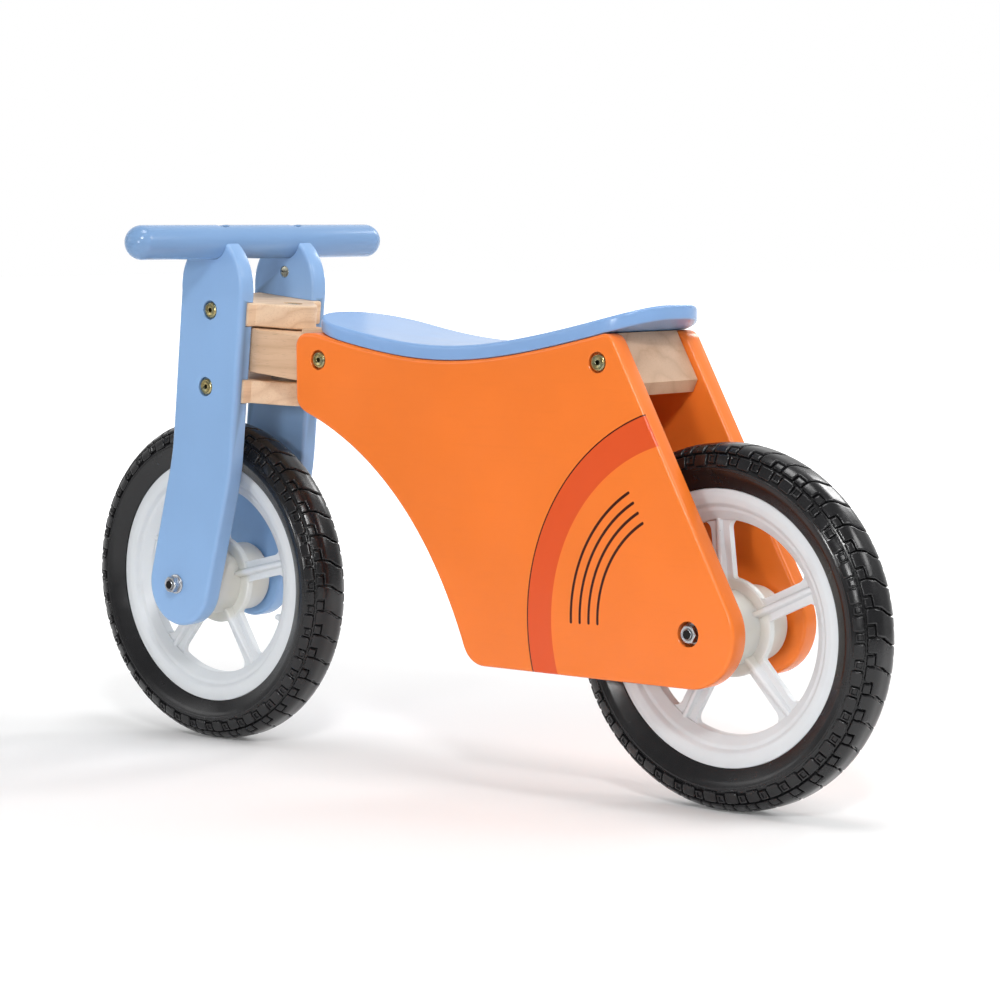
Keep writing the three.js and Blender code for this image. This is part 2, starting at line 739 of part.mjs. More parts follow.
// Plan-view outline of the seat, square-cut between its four rounded corners
function seatPlan() {
  const half = seatWidth / 2;
  const front = Math.min(seatFrontRadius, half); // the corners meet on a narrow seat
  const rear = Math.min(seatRearRadius, half);
  const plan = new THREE.Shape();
  const frontX = seatFrontX - front;
  const rearX = seatRearX + rear;
  plan.moveTo(rearX, -half);
  plan.lineTo(frontX, -half);
  plan.absarc(frontX, -half + front, front, -Math.PI / 2, 0);
  plan.absarc(frontX, half - front, front, 0, Math.PI / 2);
  plan.absarc(rearX, half - rear, rear, Math.PI / 2, Math.PI);
  plan.absarc(rearX, -half + rear, rear, Math.PI, 1.5 * Math.PI);
  plan.closePath();
  return plan;
}

function seatGeometry() {
  const stations = [];
  for (let i = 0; i <= seatSteps; i += 1) {
    stations.push(seatRearX + (seatLength * i) / seatSteps);
  }
  const side = new THREE.Shape();
  side.moveTo(seatRearX, seatUnder(seatRearX) + seatThickness);
  stations.forEach((x) => side.lineTo(x, seatUnder(x)));
  stations.reverse().forEach((x) => side.lineTo(x, seatUnder(x) + seatThickness));
  const half = seatWidth / 2 + trim;
  const bent = plate(side, -half, half);
  const outline = board(seatPlan(), 0, deckZ + seatLength);
  const holes = [...frontScrewXs, ...rearScrewXs].map((x) => {
    const top = seatUnder(x) + seatScrewBite + seatGap;
    const hole = rod(seatScrewRadius + seatGap, deckZ - 2 * seatSag, top, holeSegments);
    return upright(hole).translate(x, 0, 0);
  });
  return cut(common(bent, outline), holes);
}

function addSeatScrews(label, places, bottomAt) {
  places.forEach((x, i) => {
    const seat = bottomAt(x) + seatScrewSink - seatGap;
    const tip = seatUnder(x) + seatScrewBite;
    const screw = upright(turned([
      [0, seat - seatScrewHeadHeight],
      [seatScrewHeadRadius, seat - seatScrewHeadHeight],
      [seatScrewHeadRadius, seat],
      [seatScrewRadius, seat],
      [seatScrewRadius, tip - seatScrewPoint],
      [0, tip],
    ], holeSegments));
    add(bike, `seat_screw_${label}_${i + 1}`, screw, 'brightZinc', x, 0, 0);
  });
}

// ---- Fork, in its own upright frame ----

function bridgeShape() {
  const front = bladeFrontX - bridgeFrontInset;
  const back = pivotX + bridgeBackEdge;
  const end = forkGap / 2 + bridgeDado;
  const shoulder = forkGap / 2 - 2 * seatGap;
  const touch = touchAngle({ x: back, z: shoulder }, { x: pivotX, z: 0 }, bridgeNoseRadius, 1);
  const shape = new THREE.Shape();
  shape.moveTo(front, -end);
  shape.lineTo(front, end);
  shape.lineTo(back, end);
  shape.lineTo(back, shoulder);
  shape.absarc(pivotX, 0, bridgeNoseRadius, touch, 2 * Math.PI - touch);
  shape.lineTo(back, -shoulder);
  shape.lineTo(back, -end);
  shape.closePath();
  return shape;
}

const pivotHeadSeat = upperBridgeTopZ - pivotHeadSink - pivotHeadHeight;
const pivotNutLow = lowerBridgeZ + pivotNutSink;
const pivotWasherLow = pivotNutLow + pivotNutHeight + seatGap;
const pivotWasherTop = pivotWasherLow + pivotWasherThickness;

function bridgeGeometry(level, sinkLow, sinkHigh) {
  const end = forkGap / 2 + bridgeDado;
  const middle = level + bridgeThickness / 2;
  const bore = upright(rod(pivotRadius + seatGap, level - trim, level + bridgeThickness + trim));
  const sink = upright(rod(pivotBoreRadius, sinkLow, sinkHigh, hubSegments));
  return cut(board(bridgeShape(), level, level + bridgeThickness, bridgeEase), [
    bore.translate(pivotX, 0, 0),
    sink.translate(pivotX, 0, 0),
    ...sides.flatMap(([, sign]) => nutBore(end, boltLineX, middle, level, sign)),
  ]);
}

function bladeShape() {
  const foot = { x: -bladeFootShift, z: 0 };
  const bendZ = lowerBridgeZ - bladeBendDrop;
  const frontBend = { x: bladeFrontX, z: bendZ };
  const backBend = { x: bladeBackX + bladeNarrowing, z: bendZ - bladeBendStagger };
  const frontTouch = touchAngle(frontBend, foot, bladeFootRadius, -1);
  const backTouch = touchAngle(backBend, foot, bladeFootRadius, 1);
  const shoulder = barZ - bladeShoulderDrop;
  const frontShoulder = { x: bladeFrontX, z: shoulder };
  const backShoulder = { x: bladeBackX, z: shoulder };
  const crown = barZ + bladeCrownRise;
  const crownPull = crown - bladeCrownFall;
  const shape = new THREE.Shape();
  shape.absarc(foot.x, foot.z, bladeFootRadius, backTouch, frontTouch + 2 * Math.PI);
  bend(shape, onCircle(foot, bladeFootRadius, frontTouch), frontBend, frontShoulder, bladeBendReach);
  shape.lineTo(frontShoulder.x, frontShoulder.z);
  shape.bezierCurveTo(
    bladeFrontX + bladeFrontShoulder.bulge, shoulder + bladeFrontShoulder.reach,
    boltLineX + bladeCrownReach, crownPull,
    boltLineX, crown,
  );
  shape.bezierCurveTo(
    boltLineX - bladeCrownReach, crownPull,
    bladeBackX - bladeBackShoulder.bulge, shoulder + bladeBackShoulder.reach,
    backShoulder.x, backShoulder.z,
  );
  bend(shape, backShoulder, backBend, onCircle(foot, bladeFootRadius, backTouch), bladeBendReach);
  shape.closePath();
  return shape;
}

function bladeGeometry(sign) {
  const inner = forkGap / 2;
  const low = sign > 0 ? inner : -bladeOuter;
  const blank = plate(bladeShape(), low, low + bladeThickness, bladeEase);
  const dadoFront = bladeFrontX - bridgeFrontInset + seatGap;
  const dadoBack = bladeBackX - 2 * bladeEase;
  const dados = [lowerBridgeZ, upperBridgeZ].map((level) => {
    const box = new THREE.BoxGeometry(
      dadoFront - dadoBack,
      bridgeDado + seatGap + trim,
      bridgeThickness + 2 * seatGap,
    );
    const y = sign * (inner + (bridgeDado + seatGap - trim) / 2);
    return box.translate((dadoFront + dadoBack) / 2, y, level + bridgeThickness / 2);
  });
  const bolts = [lowerBridgeZ, upperBridgeZ].flatMap((level) => (
    boltBore(bladeOuter, bladeThickness, boltLineX, level + bridgeThickness / 2, sign)
  ));
  const nutZ = barZ - barNutDrop;
  const cradle = rod(barRadius + seatGap, -bladeOuter - trim, bladeOuter + trim, hubSegments);
  const screwEnd = nutZ - barrelRadius - barScrewTail - weld;
  const screwHole = upright(rod(barScrewRadius + seatGap, screwEnd, barZ, holeSegments));
  const pocket = rod(barrelRadius + seatGap, inner - trim, inner + barrelLength + 2 * seatGap);
  const sidePocket = sign > 0 ? pocket : pocket.rotateZ(Math.PI);
  return cut(blank, [
    ...dados,
    ...bolts,
    rod(axleRadius + seatGap, -bladeOuter - trim, bladeOuter + trim),
    cradle.translate(boltLineX, 0, barZ),
    screwHole.translate(boltLineX, sign * (inner + bladeThickness / 2), 0),
    sidePocket.translate(boltLineX, 0, nutZ),
  ]);
}

const barScrewY = forkGap / 2 + bladeThickness / 2;
const barScrewTop = barRadius - barScrewSink;
const barScrewCone = barScrewHeadRadius - barScrewRadius;
const barScrewConeTop = barScrewTop - barScrewRim;

function handlebarGeometry() {
  const profile = [];
  const middle = barLength / 2 - barRadius;
  for (let i = 0; i < domeSteps; i += 1) {
    const angle = ((i / domeSteps) * Math.PI) / 2;
    profile.push([barRadius * Math.cos(angle), middle + barRadius * Math.sin(angle)]);
  }
  profile.push([0, barLength / 2]);
  const mirrored = profile.map(([radius, y]) => [radius, -y]).reverse();
  const sink = () => upright(turned([
    [0, -barRadius - trim],
    [barScrewRadius + seatGap, -barRadius - trim],
    [barScrewRadius + seatGap, barScrewConeTop - barScrewCone],
    [barScrewHeadRadius + seatGap, barScrewConeTop],
    [barScrewHeadRadius + seatGap, barRadius + trim],
    [0, barRadius + trim],
  ]));
  const cutters = sides.map(([, sign]) => sink().translate(0, sign * barScrewY, 0));
  return cut(turned([...mirrored, ...profile], hubSegments), cutters);
}

function barScrewGeometry() {
  const tip = -barNutDrop - barrelRadius - barScrewTail;
  const body = upright(turned([
    [0, tip],
    [barScrewRadius, tip],
    [barScrewRadius, barScrewConeTop - barScrewCone],
    [barScrewHeadRadius, barScrewConeTop],
    [barScrewHeadRadius, barScrewTop],
    [0, barScrewTop],
  ]));
  const socket = upright(hexPrism(boltSocket, barScrewTop - boltSocketDepth, barScrewTop + trim));
  return cut(body, [socket]);
}

// A slotted barrel nut that lies along Y, its slotted end at y = 0 and its body on the plus side
function slottedNut() {
  const body = rod(barrelRadius, 0, barrelLength);
  const end = barrelRadius + trim;
  const hole = upright(rod(barScrewRadius + seatGap, -end, end, holeSegments));
  const slot = new THREE.BoxGeometry(2 * end, 2 * barNutSlot.depth, barNutSlot.width);
  return cut(body, [hole.translate(0, bladeThickness / 2 - seatGap, 0), slot]);
}

function addFork() {
  for (const [label, sign] of sides) {
    add(fork, `${label}_fork_blade`, bladeGeometry(sign), 'bluePaint');
    const y = sign * barScrewY;
    add(fork, `handlebar_screw_${label}`, barScrewGeometry(), 'brightZinc', boltLineX, y, barZ);
    const nutY = sign * (forkGap / 2 + seatGap);
    const nut = add(fork, `handlebar_nut_${label}`, slottedNut(), 'steel', boltLineX, nutY);
    nut.position.z = barZ - barNutDrop;
    if (sign < 0) nut.rotation.z = Math.PI;
  }
  add(fork, 'handlebar', handlebarGeometry(), 'bluePaint', boltLineX, 0, barZ);
  const end = forkGap / 2 + bridgeDado;
  const bridges = [
    ['upper', upperBridgeZ, pivotHeadSeat - seatGap, upperBridgeTopZ + trim],
    ['lower', lowerBridgeZ, lowerBridgeZ - trim, pivotWasherTop + seatGap],
  ];
  for (const [label, level, sinkLow, sinkHigh] of bridges) {
    add(fork, `${label}_fork_bridge`, bridgeGeometry(level, sinkLow, sinkHigh), 'paleWood');
    addBoltPair(fork, `${label}_fork`, boltLineX, level + bridgeThickness / 2, bladeOuter, end);
  }
}

function addPivot() {
  const shank = join([
    rod(pivotRadius, pivotNutLow, pivotHeadSeat + weld),
    rod(pivotHeadRadius, pivotHeadSeat, pivotHeadSeat + pivotHeadHeight, hubSegments),
  ]);
  const headTopEnd = pivotHeadSeat + pivotHeadHeight;
  const bolt = cut(shank, [hexPrism(pivotSocket, headTopEnd - pivotSocketDepth, headTopEnd + trim)]);
  const nutTop = pivotNutLow + pivotNutHeight;
  const nutHole = rod(pivotRadius + seatGap, pivotNutLow - trim, nutTop + trim);
  const nut = cut(hexPrism(pivotNutFlats, pivotNutLow, nutTop), [nutHole]);
  const washer = ring(pivotWasherRadius, pivotRadius + seatGap, pivotWasherLow, pivotWasherTop);
  add(fork, 'pivot_bolt', upright(bolt), 'yellowZinc', pivotX, 0, 0);
  add(fork, 'pivot_nut', upright(nut), 'yellowZinc', pivotX, 0, 0);
  add(fork, 'pivot_washer', upright(washer), 'yellowZinc', pivotX, 0, 0);

  const thrustTop = headZ - 2 * seatGap - lowerBushFlange;
  const thrustLow = lowerBridgeZ + bridgeThickness + seatGap;
  const thrust = ring(thrustWasherRadius, pivotRadius + seatGap, thrustLow, thrustTop, hubSegments);
  add(fork, 'thrust_washer', upright(thrust), 'nylon', pivotX, 0, 0);

  const inner = pivotRadius + seatGap;
  const upperFlange = upperGap - 2 * seatGap;
  const flangeLow = headTopZ + seatGap;
  const upperBush = turned([
    [inner, flangeLow - bushLength],
    [bushOuter, flangeLow - bushLength],
    [bushOuter, flangeLow],
    [bushFlangeRadius, flangeLow],
    [bushFlangeRadius, flangeLow + upperFlange],
    [inner, flangeLow + upperFlange],
    [inner, flangeLow - bushLength],
  ], hubSegments);
  const flangeTop = headZ - seatGap;
  const lowerBush = turned([
    [inner, flangeTop - lowerBushFlange],
    [bushFlangeRadius, flangeTop - lowerBushFlange],
    [bushFlangeRadius, flangeTop],
    [bushOuter, flangeTop],
    [bushOuter, flangeTop + bushLength],
    [inner, flangeTop + bushLength],
    [inner, flangeTop - lowerBushFlange],
  ], hubSegments);
  add(fork, 'head_bush_upper', upright(upperBush), 'nylon', pivotX, 0, 0);
  add(fork, 'head_bush_lower', upright(lowerBush), 'nylon', pivotX, 0, 0);
}

// ---- Assembly ----

function addFrame() {
  for (const [label, sign] of sides) {
    add(bike, `${label}_side_panel`, panelGeometry(sign), 'orangePaint');
  }
  add(bike, 'head_block', headBlockGeometry(), 'paleWood');
  add(bike, 'rear_block', rearBlockGeometry(), 'paleWood');
  add(bike, 'seat_board', seatGeometry(), 'bluePaint');
  addBoltPair(bike, 'front_panel', frontBolt.x, frontBolt.z, panelOuter, blockHalf);
  addBoltPair(bike, 'rear_panel', rearBolt.x, rearBolt.z, panelOuter, rearBlockHalf);
  addSeatScrews('front', frontScrewXs, (x) => rakedHeight(headZ, x));
  addSeatScrews('rear', rearScrewXs, () => rearDeckZ - rearBlockHeight);
}

addFrame();
addFork();
addPivot();
addWheel('front', frontAxleX, frontWheelAngle);
addWheel('rear', rearAxleX, rearWheelAngle);
addAxle('front', frontAxleX, bladeOuter);
addAxle('rear', rearAxleX, rearAxleSeat);
addSpacers('front_washer', frontAxleX, frontWasherThickness);
addSpacers('rear_spacer', rearAxleX, rearSpacerLength);

export default bike;
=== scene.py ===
"""A child's wooden balance bike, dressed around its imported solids.

Sizes are millimetres in the classes and metres in the meshes. +X is forwards, +Y is the rider's
left and +Z is up. The fork is drawn upright in a frame of its own, centred on the front axle,
and then leaned back by the rake.
"""

import logging
from math import acos, asin, atan2, ceil, copysign, cos, degrees, dist
from math import hypot, pi, radians, sin, sqrt, tan
from dataclasses import dataclass, field
from enum import Enum
from typing import Iterable, Sequence

import bmesh
import bpy
from mathutils import Matrix, Vector


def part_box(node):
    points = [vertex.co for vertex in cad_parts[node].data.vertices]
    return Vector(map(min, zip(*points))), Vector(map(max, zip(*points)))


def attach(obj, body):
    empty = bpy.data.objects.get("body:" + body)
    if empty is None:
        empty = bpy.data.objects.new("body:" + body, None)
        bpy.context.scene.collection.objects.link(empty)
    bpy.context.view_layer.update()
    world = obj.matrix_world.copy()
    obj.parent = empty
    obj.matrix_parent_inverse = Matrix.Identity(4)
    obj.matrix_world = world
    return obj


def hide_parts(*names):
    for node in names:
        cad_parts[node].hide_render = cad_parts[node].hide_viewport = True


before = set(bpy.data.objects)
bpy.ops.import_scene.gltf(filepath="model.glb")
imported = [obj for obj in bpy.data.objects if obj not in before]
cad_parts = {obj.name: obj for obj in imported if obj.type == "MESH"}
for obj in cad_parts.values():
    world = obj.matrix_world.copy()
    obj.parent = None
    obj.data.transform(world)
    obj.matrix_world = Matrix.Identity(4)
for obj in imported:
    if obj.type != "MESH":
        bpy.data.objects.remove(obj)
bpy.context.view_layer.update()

log = logging.getLogger("balance_bike")

MM = 0.001
BROAD = 0.0022
SIDES = (("left", 1), ("right", -1))

GAP = 0.3
AXLE_BORE = 4.3
BOLT_BORE = 3.3

Pair = tuple[float, float]
Point = tuple[float, float, float]
Corner = tuple[float, float, float]
Piece = bpy.types.Object
Node = bpy.types.Node
Socket = bpy.types.NodeSocket


class View(Enum):
    """The plane that an outline is drawn in, and so the way its plate is thick."""

    SIDE = "side"
    PLAN = "plan"


class Join(Enum):
    """How a cutter or a second piece meets a body."""

    ADD = "UNION"
    CUT = "DIFFERENCE"
    KEEP = "INTERSECT"


# ---- Outlines ----


def on_circle(centre: Pair, radius: float, angle: float) -> Pair:
    """Returns the point of a circle at an angle in radians."""
    return centre[0] + radius * cos(angle), centre[1] + radius * sin(angle)


def arc(centre: Pair, radius: float, start: float, end: float, steps: int) -> list[Pair]:
    """Draws an arc.

    Args:
        centre: Middle of the circle.
        radius: Radius of the circle.
        start: First angle in radians.
        end: Last angle in radians.
        steps: Number of chords.

    Returns:
        The points along the arc, both ends included.
    """
    turn = (end - start) / steps
    return [on_circle(centre, radius, start + turn * i) for i in range(steps + 1)]


def bezier(points: Sequence[Pair], steps: int) -> list[Pair]:
    """Draws a Bezier curve of any degree.

    Args:
        points: The control points, ends included.
        steps: Number of chords.

    Returns:
        The points after the first one, the last one included.
    """
    drawn = []
    for i in range(1, steps + 1):
        t = i / steps
        row = list(points)
        while len(row) > 1:
            row = [
                (a[0] + (b[0] - a[0]) * t, a[1] + (b[1] - a[1]) * t) for a, b in zip(row, row[1:])
            ]
        drawn.append(row[0])
    return drawn


def bend(start: Pair, corner: Pair, end: Pair, reach: float, steps: int = 8) -> list[Pair]:
    """Rounds a corner between two straight runs over a reach along each.

    Args:
        start: A point on the run before the corner.
        corner: The corner.
        end: A point on the run after it.
        reach: Length of the rounding along each run.
        steps: Number of chords.

    Returns:
        The points of the rounding.
    """

    def towards(target: Pair) -> Pair:
        """Returns the point at the reach from the corner towards another."""
        share = reach / dist(target, corner)
        return (
            corner[0] + (target[0] - corner[0]) * share,
            corner[1] + (target[1] - corner[1]) * share,
        )

    first = towards(start)
    return [first, *bezier([first, corner, towards(end)], steps)]


def filleted(corners: Sequence[Corner], steps: int = 5) -> list[Pair]:
    """Rounds the corners of a closed outline.

    Args:
        corners: Each corner's two coordinates and its radius.
        steps: Chords in each rounded corner.

    Returns:
        The rounded outline.
    """
    outline: list[Pair] = []
    count = len(corners)
    for i, (x, y, radius) in enumerate(corners):
        here = Vector((x, y))
        back = (Vector(corners[i - 1][:2]) - here).normalized()
        on = (Vector(corners[(i + 1) % count][:2]) - here).normalized()
        half = back.angle(on) / 2
        if radius <= 0 or half > pi / 2 - 1e-3:
            outline.append((x, y))
            continue
        centre = here + (back + on).normalized() * (radius / sin(half))
        first = here + back * (radius / tan(half)) - centre
        last = here + on * (radius / tan(half)) - centre
        start = atan2(first.y, first.x)
        turn = (atan2(last.y, last.x) - start + pi) % (2 * pi) - pi
        outline += arc((centre.x, centre.y), radius, start, start + turn, steps)
    return outline


def oblong(near: float, far: float, low: float, high: float, eases: Pair) -> list[Corner]:
    """Returns an oblong's corners, with one radius for its near side and one for its far side."""
    first, last = eases
    return [(near, low, first), (far, low, last), (far, high, last), (near, high, first)]


def doubled(half: Sequence[Corner], steps: int) -> list[Pair]:
    """Returns a closed, rounded profile from the half above its middle."""
    return filleted([*half, *[(r, -y, ease) for r, y, ease in reversed(half)]], steps)


def quarter(steps: int) -> list[Pair]:
    """Returns how far a unit rounding stands in from each of its two sides, along its length."""
    angles = [i / steps * pi / 2 for i in range(steps + 1)]
    return [(1 - sin(a), 1 - cos(a)) for a in angles]


def area(outline: Sequence[Pair]) -> float:
    """Returns an outline's signed area, above nought if it runs anticlockwise."""
    pairs = zip(outline, [*outline[1:], outline[0]])
    return sum(a[0] * b[1] - b[0] * a[1] for a, b in pairs) / 2


def tidy(outline: Sequence[Pair]) -> list[Pair]:
    """Runs an outline anticlockwise and drops points that lie on each other."""
    kept = [p for i, p in enumerate(outline) if dist(p, outline[i - 1]) > 1e-3]
    return kept if area(kept) > 0 else kept[::-1]


def inset(outline: Sequence[Pair], distance: float) -> list[Pair]:
    """Moves an anticlockwise outline inwards.

    Args:
        outline: The outline.
        distance: How far its sides move in, below nought for outwards.

    Returns:
        As many points, moved along the corners' bisectors.
    """
    moved = []
    count = len(outline)
    for i, here in enumerate(outline):
        before = Vector(here) - Vector(outline[i - 1])
        after = Vector(outline[(i + 1) % count]) - Vector(here)
        a = Vector((-before.y, before.x)).normalized()
        b = Vector((-after.y, after.x)).normalized()
        middle = (a + b).normalized()
        reach = distance / max(0.35, middle.dot(a))
        moved.append((here[0] + middle.x * reach, here[1] + middle.y * reach))
    return moved


def line_touch(point: Pair, centre: Pair, radius: float, side: int) -> float:
    """Returns the angle at which a line from a point touches a circle, on its left or right."""
    across, up = point[0] - centre[0], point[1] - centre[1]
    return atan2(up, across) + side * acos(radius / hypot(across, up))


# ---- Meshes ----


@dataclass
class Shell:
    """A closed surface under construction, in millimetres."""

    points: list[Point] = field(default_factory=list)
    faces: list[list[int]] = field(default_factory=list)

    def loop(self, points: Iterable[Point]) -> list[int]:
        """Adds points and returns their numbers."""
        start = len(self.points)
        self.points += points
        return list(range(start, len(self.points)))

    def skin(self, first: Sequence[int], second: Sequence[int]) -> None:
        """Joins two loops, either of which may be a single point.

        Args:
            first: Numbers of one loop's points.
            second: Numbers of the other's.
        """
        count = max(len(first), len(second))
        for i in range(count):
            j = (i + 1) % count
            ends = [first[i % len(first)], first[j % len(first)]]
            ends += [second[j % len(second)], second[i % len(second)]]
            self.faces.append(list(dict.fromkeys(ends)))

    def stack(self, loops: Sequence[Sequence[Point]], closed: bool = False) -> "Shell":
        """Skins a row of loops.

        Args:
            loops: The loops' points, in order.
            closed: Whether the last loop joins the first, as on a ring.

        Returns:
            The shell itself.
        """
        numbers = [self.loop(points) for points in loops]
        for first, second in zip(numbers, numbers[1:]):
            self.skin(first, second)
        if closed:
            self.skin(numbers[-1], numbers[0])
            return self
        for end in (numbers[0], numbers[-1]):
            if len(end) > 1:
                self.faces.append(list(end))
        return self

    def mesh(self, name: str, place: Matrix | None = None) -> bpy.types.Mesh:
        """Makes the mesh, in metres, with its faces pointing out.

        Args:
            name: The mesh's name.
            place: Where the shell's own frame lies on the bike, in millimetres.

        Returns:
            The new mesh.
        """
        made = bpy.data.meshes.new(name)
        scale = Matrix.Scale(MM, 4) @ (place or Matrix.Identity(4))
        made.from_pydata([scale @ Vector(p) for p in self.points], [], self.faces)
        shape = bmesh.new()
        shape.from_mesh(made)
        bmesh.ops.recalc_face_normals(shape, faces=shape.faces)
        shape.to_mesh(made)
        shape.free()
        return made

    def object(self, name: str, place: Matrix | None = None) -> Piece:
        """Makes an object of the shell, as mesh does."""
        return linked(name, self.mesh(name, place))


def linked(name: str, mesh: bpy.types.Mesh) -> Piece:
    """Returns a new object of a mesh, in the scene."""
    made = bpy.data.objects.new(name, mesh)
    bpy.context.scene.collection.objects.link(made)
    return made


def discard(piece: Piece) -> None:
    """Takes an object and its mesh out of the file."""
    mesh = piece.data
    bpy.data.objects.remove(piece)
    if mesh.users == 0:
        bpy.data.meshes.remove(mesh)


def placed(outline: Sequence[Pair], level: float, view: View) -> list[Point]:
    """Returns an outline's points in space, at a level across its plane."""
    if view is View.SIDE:
        return [(a, level, b) for a, b in outline]
    return [(a, b, level) for a, b in outline]


def layered(rows: Iterable[tuple[Sequence[Pair], float]], view: View) -> Shell:
    """Returns a shell skinned over outlines, each at its level across the view's plane."""
    return Shell().stack([placed(line, level, view) for line, level in rows])


def plate(
    outline: Sequence[Pair],
    low: float,
    high: float,
    ease: float,
    view: View = View.SIDE,
    steps: int = 5,
    rim: float = 0.5,
    low_ease: float | None = None,
) -> Shell:
    """Makes a plate with rounded edges.

    Args:
        outline: The plate's outline.
        low: One face.
        high: The other face.
        ease: Radius of the edges.
        view: The plane that the outline lies in.
        steps: Chords across each edge.
        rim: Width of the flat border that holds the faces' shading.
        low_ease: Radius of the low face's edges, where it differs.

    Returns:
        The plate.
    """
    drawn = tidy(outline)

    def edge(radius: float, level: float, way: int) -> list[Pair]:
        """Returns how far each line of an edge stands in, and its level."""
        turn = [(radius * s, level + way * radius * c) for s, c in quarter(steps)]
        return [(radius + rim, level), *turn]

    rows = edge(ease if low_ease is None else low_ease, low, 1) + edge(ease, high, -1)[::-1]
    return layered([(inset(drawn, shift), level) for shift, level in rows], view)


def turned(profile: Sequence[Pair], segments: int, ring: bool = False) -> Shell:
    """Turns a profile about the Y axis.

    Args:
        profile: Pairs of radius and Y.
        segments: Sides of the circle.
        ring: Whether the profile closes on itself, round a bore.

    Returns:
        The turned piece.
    """
    loops: list[list[Point]] = []
    for radius, level in profile:
        if radius < 1e-6:
            loops.append([(0.0, level, 0.0)])
            continue
        circle = arc((0, 0), radius, 0, 2 * pi, segments)[:-1]
        loops.append([(x, level, z) for x, z in circle])
    return Shell().stack(loops, closed=ring)


def hexagon(flats: float, low: float, high: float) -> Shell:
    """Returns a hexagonal prism along Y."""
    outline = arc((0, 0), flats / sqrt(3), 0, 2 * pi, 6)[:-1]
    return layered([(outline, low), (outline, high)], View.SIDE)


UPRIGHT = Matrix.Rotation(pi / 2, 4, "X")
ABOUT = Matrix.Rotation(pi, 4, "Z")


def moved(x: float = 0.0, y: float = 0.0, z: float = 0.0) -> Matrix:
    """Returns a move in millimetres."""
    return Matrix.Translation((x, y, z))


def combine(
    body: Piece, others: Sequence[Piece], join: Join
) -> Piece:
    """Joins other pieces to a body or cuts them from it, and discards them.

    Args:
        body: The piece that is kept.
        others: The closed pieces that meet it.
        join: What they do to it.

    Returns:
        The body, as one plain mesh.
    """
    for other in others:
        step = body.modifiers.new(other.name, "BOOLEAN")
        step.operation = join.value
        step.solver = "MANIFOLD"
        step.object = other
    apply_modifiers(body)
    for other in others:
        discard(other)
    return body


def apply_modifiers(body: Piece) -> None:
    """Turns an object with live modifiers into a plain mesh.

    Args:
        body: The object, whose old mesh is discarded.
    """
    seen = body.evaluated_get(bpy.context.evaluated_depsgraph_get())
    mesh = bpy.data.meshes.new_from_object(seen)
    old = body.data
    body.modifiers.clear()
    body.data = mesh
    mesh.name = body.name
    bpy.data.meshes.remove(old)


def sliced(shape: bmesh.types.BMesh, axis: int, levels: Iterable[float]) -> None:
    """Cuts a surface's faces along planes, so that it can bend.

    Args:
        shape: The surface, in metres.
        axis: Number of the axis that the planes lie across.
        levels: The planes' places along it, in metres.
    """
    normal = Vector([float(i == axis) for i in range(3)])
    for level in levels:
        geometry = [*shape.verts, *shape.edges, *shape.faces]
        bmesh.ops.bisect_plane(
            shape, geom=geometry, dist=1e-7, plane_co=normal * level, plane_no=normal
        )


def broad_points(shape: bmesh.types.BMesh) -> set[int]:
    """Returns the points that lie on broad flat faces, where edges don't wear.

    Args:
        shape: The surface, with its lookup tables ready.

    Returns:
        The indices of the points.
    """
    found: set[int] = set()
    seen: set[int] = set()
    for first in shape.faces:
        if first.index in seen:
            continue
        seen.add(first.index)
        patch, queue, border = [], [first], 0.0
        while queue:
            face = queue.pop()
            patch.append(face)
            for edge in face.edges:
                beside = [f for f in edge.link_faces if f is not face]
                if not beside or edge.calc_face_angle(1.0) > 0.008:
                    border += edge.calc_length()
                elif beside[0].index not in seen:
                    seen.add(beside[0].index)
                    queue.append(beside[0])
        if sum(f.calc_area() for f in patch) > border / 2 * BROAD:
            found.update(v.index for f in patch for v in f.verts)
    return found


def store_edges(mesh: bpy.types.Mesh) -> None:
    """Stores where edges turn outwards, for wear, and inwards, for painted shade in inside corners.

    Args:
        mesh: The mesh that gets the two attributes, a value at each point.
    """
    shape = bmesh.new()
    shape.from_mesh(mesh)
    shape.verts.ensure_lookup_table()
    shape.faces.ensure_lookup_table()
    wear = [0.0] * len(shape.verts)
    # grime marks inside corners, where the finishes paint shade.
    grime = [0.0] * len(shape.verts)
    for edge in shape.edges:
        if len(edge.link_faces) == 2:
            angle = edge.calc_face_angle_signed(0.0)
            for vert in edge.verts:
                wear[vert.index] = max(wear[vert.index], min(1.0, (angle - 0.05) / 0.3))
                grime[vert.index] = max(grime[vert.index], min(1.0, (-angle - 0.3) / 0.5))
    for index in broad_points(shape):
        wear[index] = 0.0
    shape.free()
    for name, values in (("wear", wear), ("grime", grime)):
        layer = mesh.attributes.new(name, "FLOAT", "POINT")
        layer.data.foreach_set("value", values)


# ---- Node helpers ----


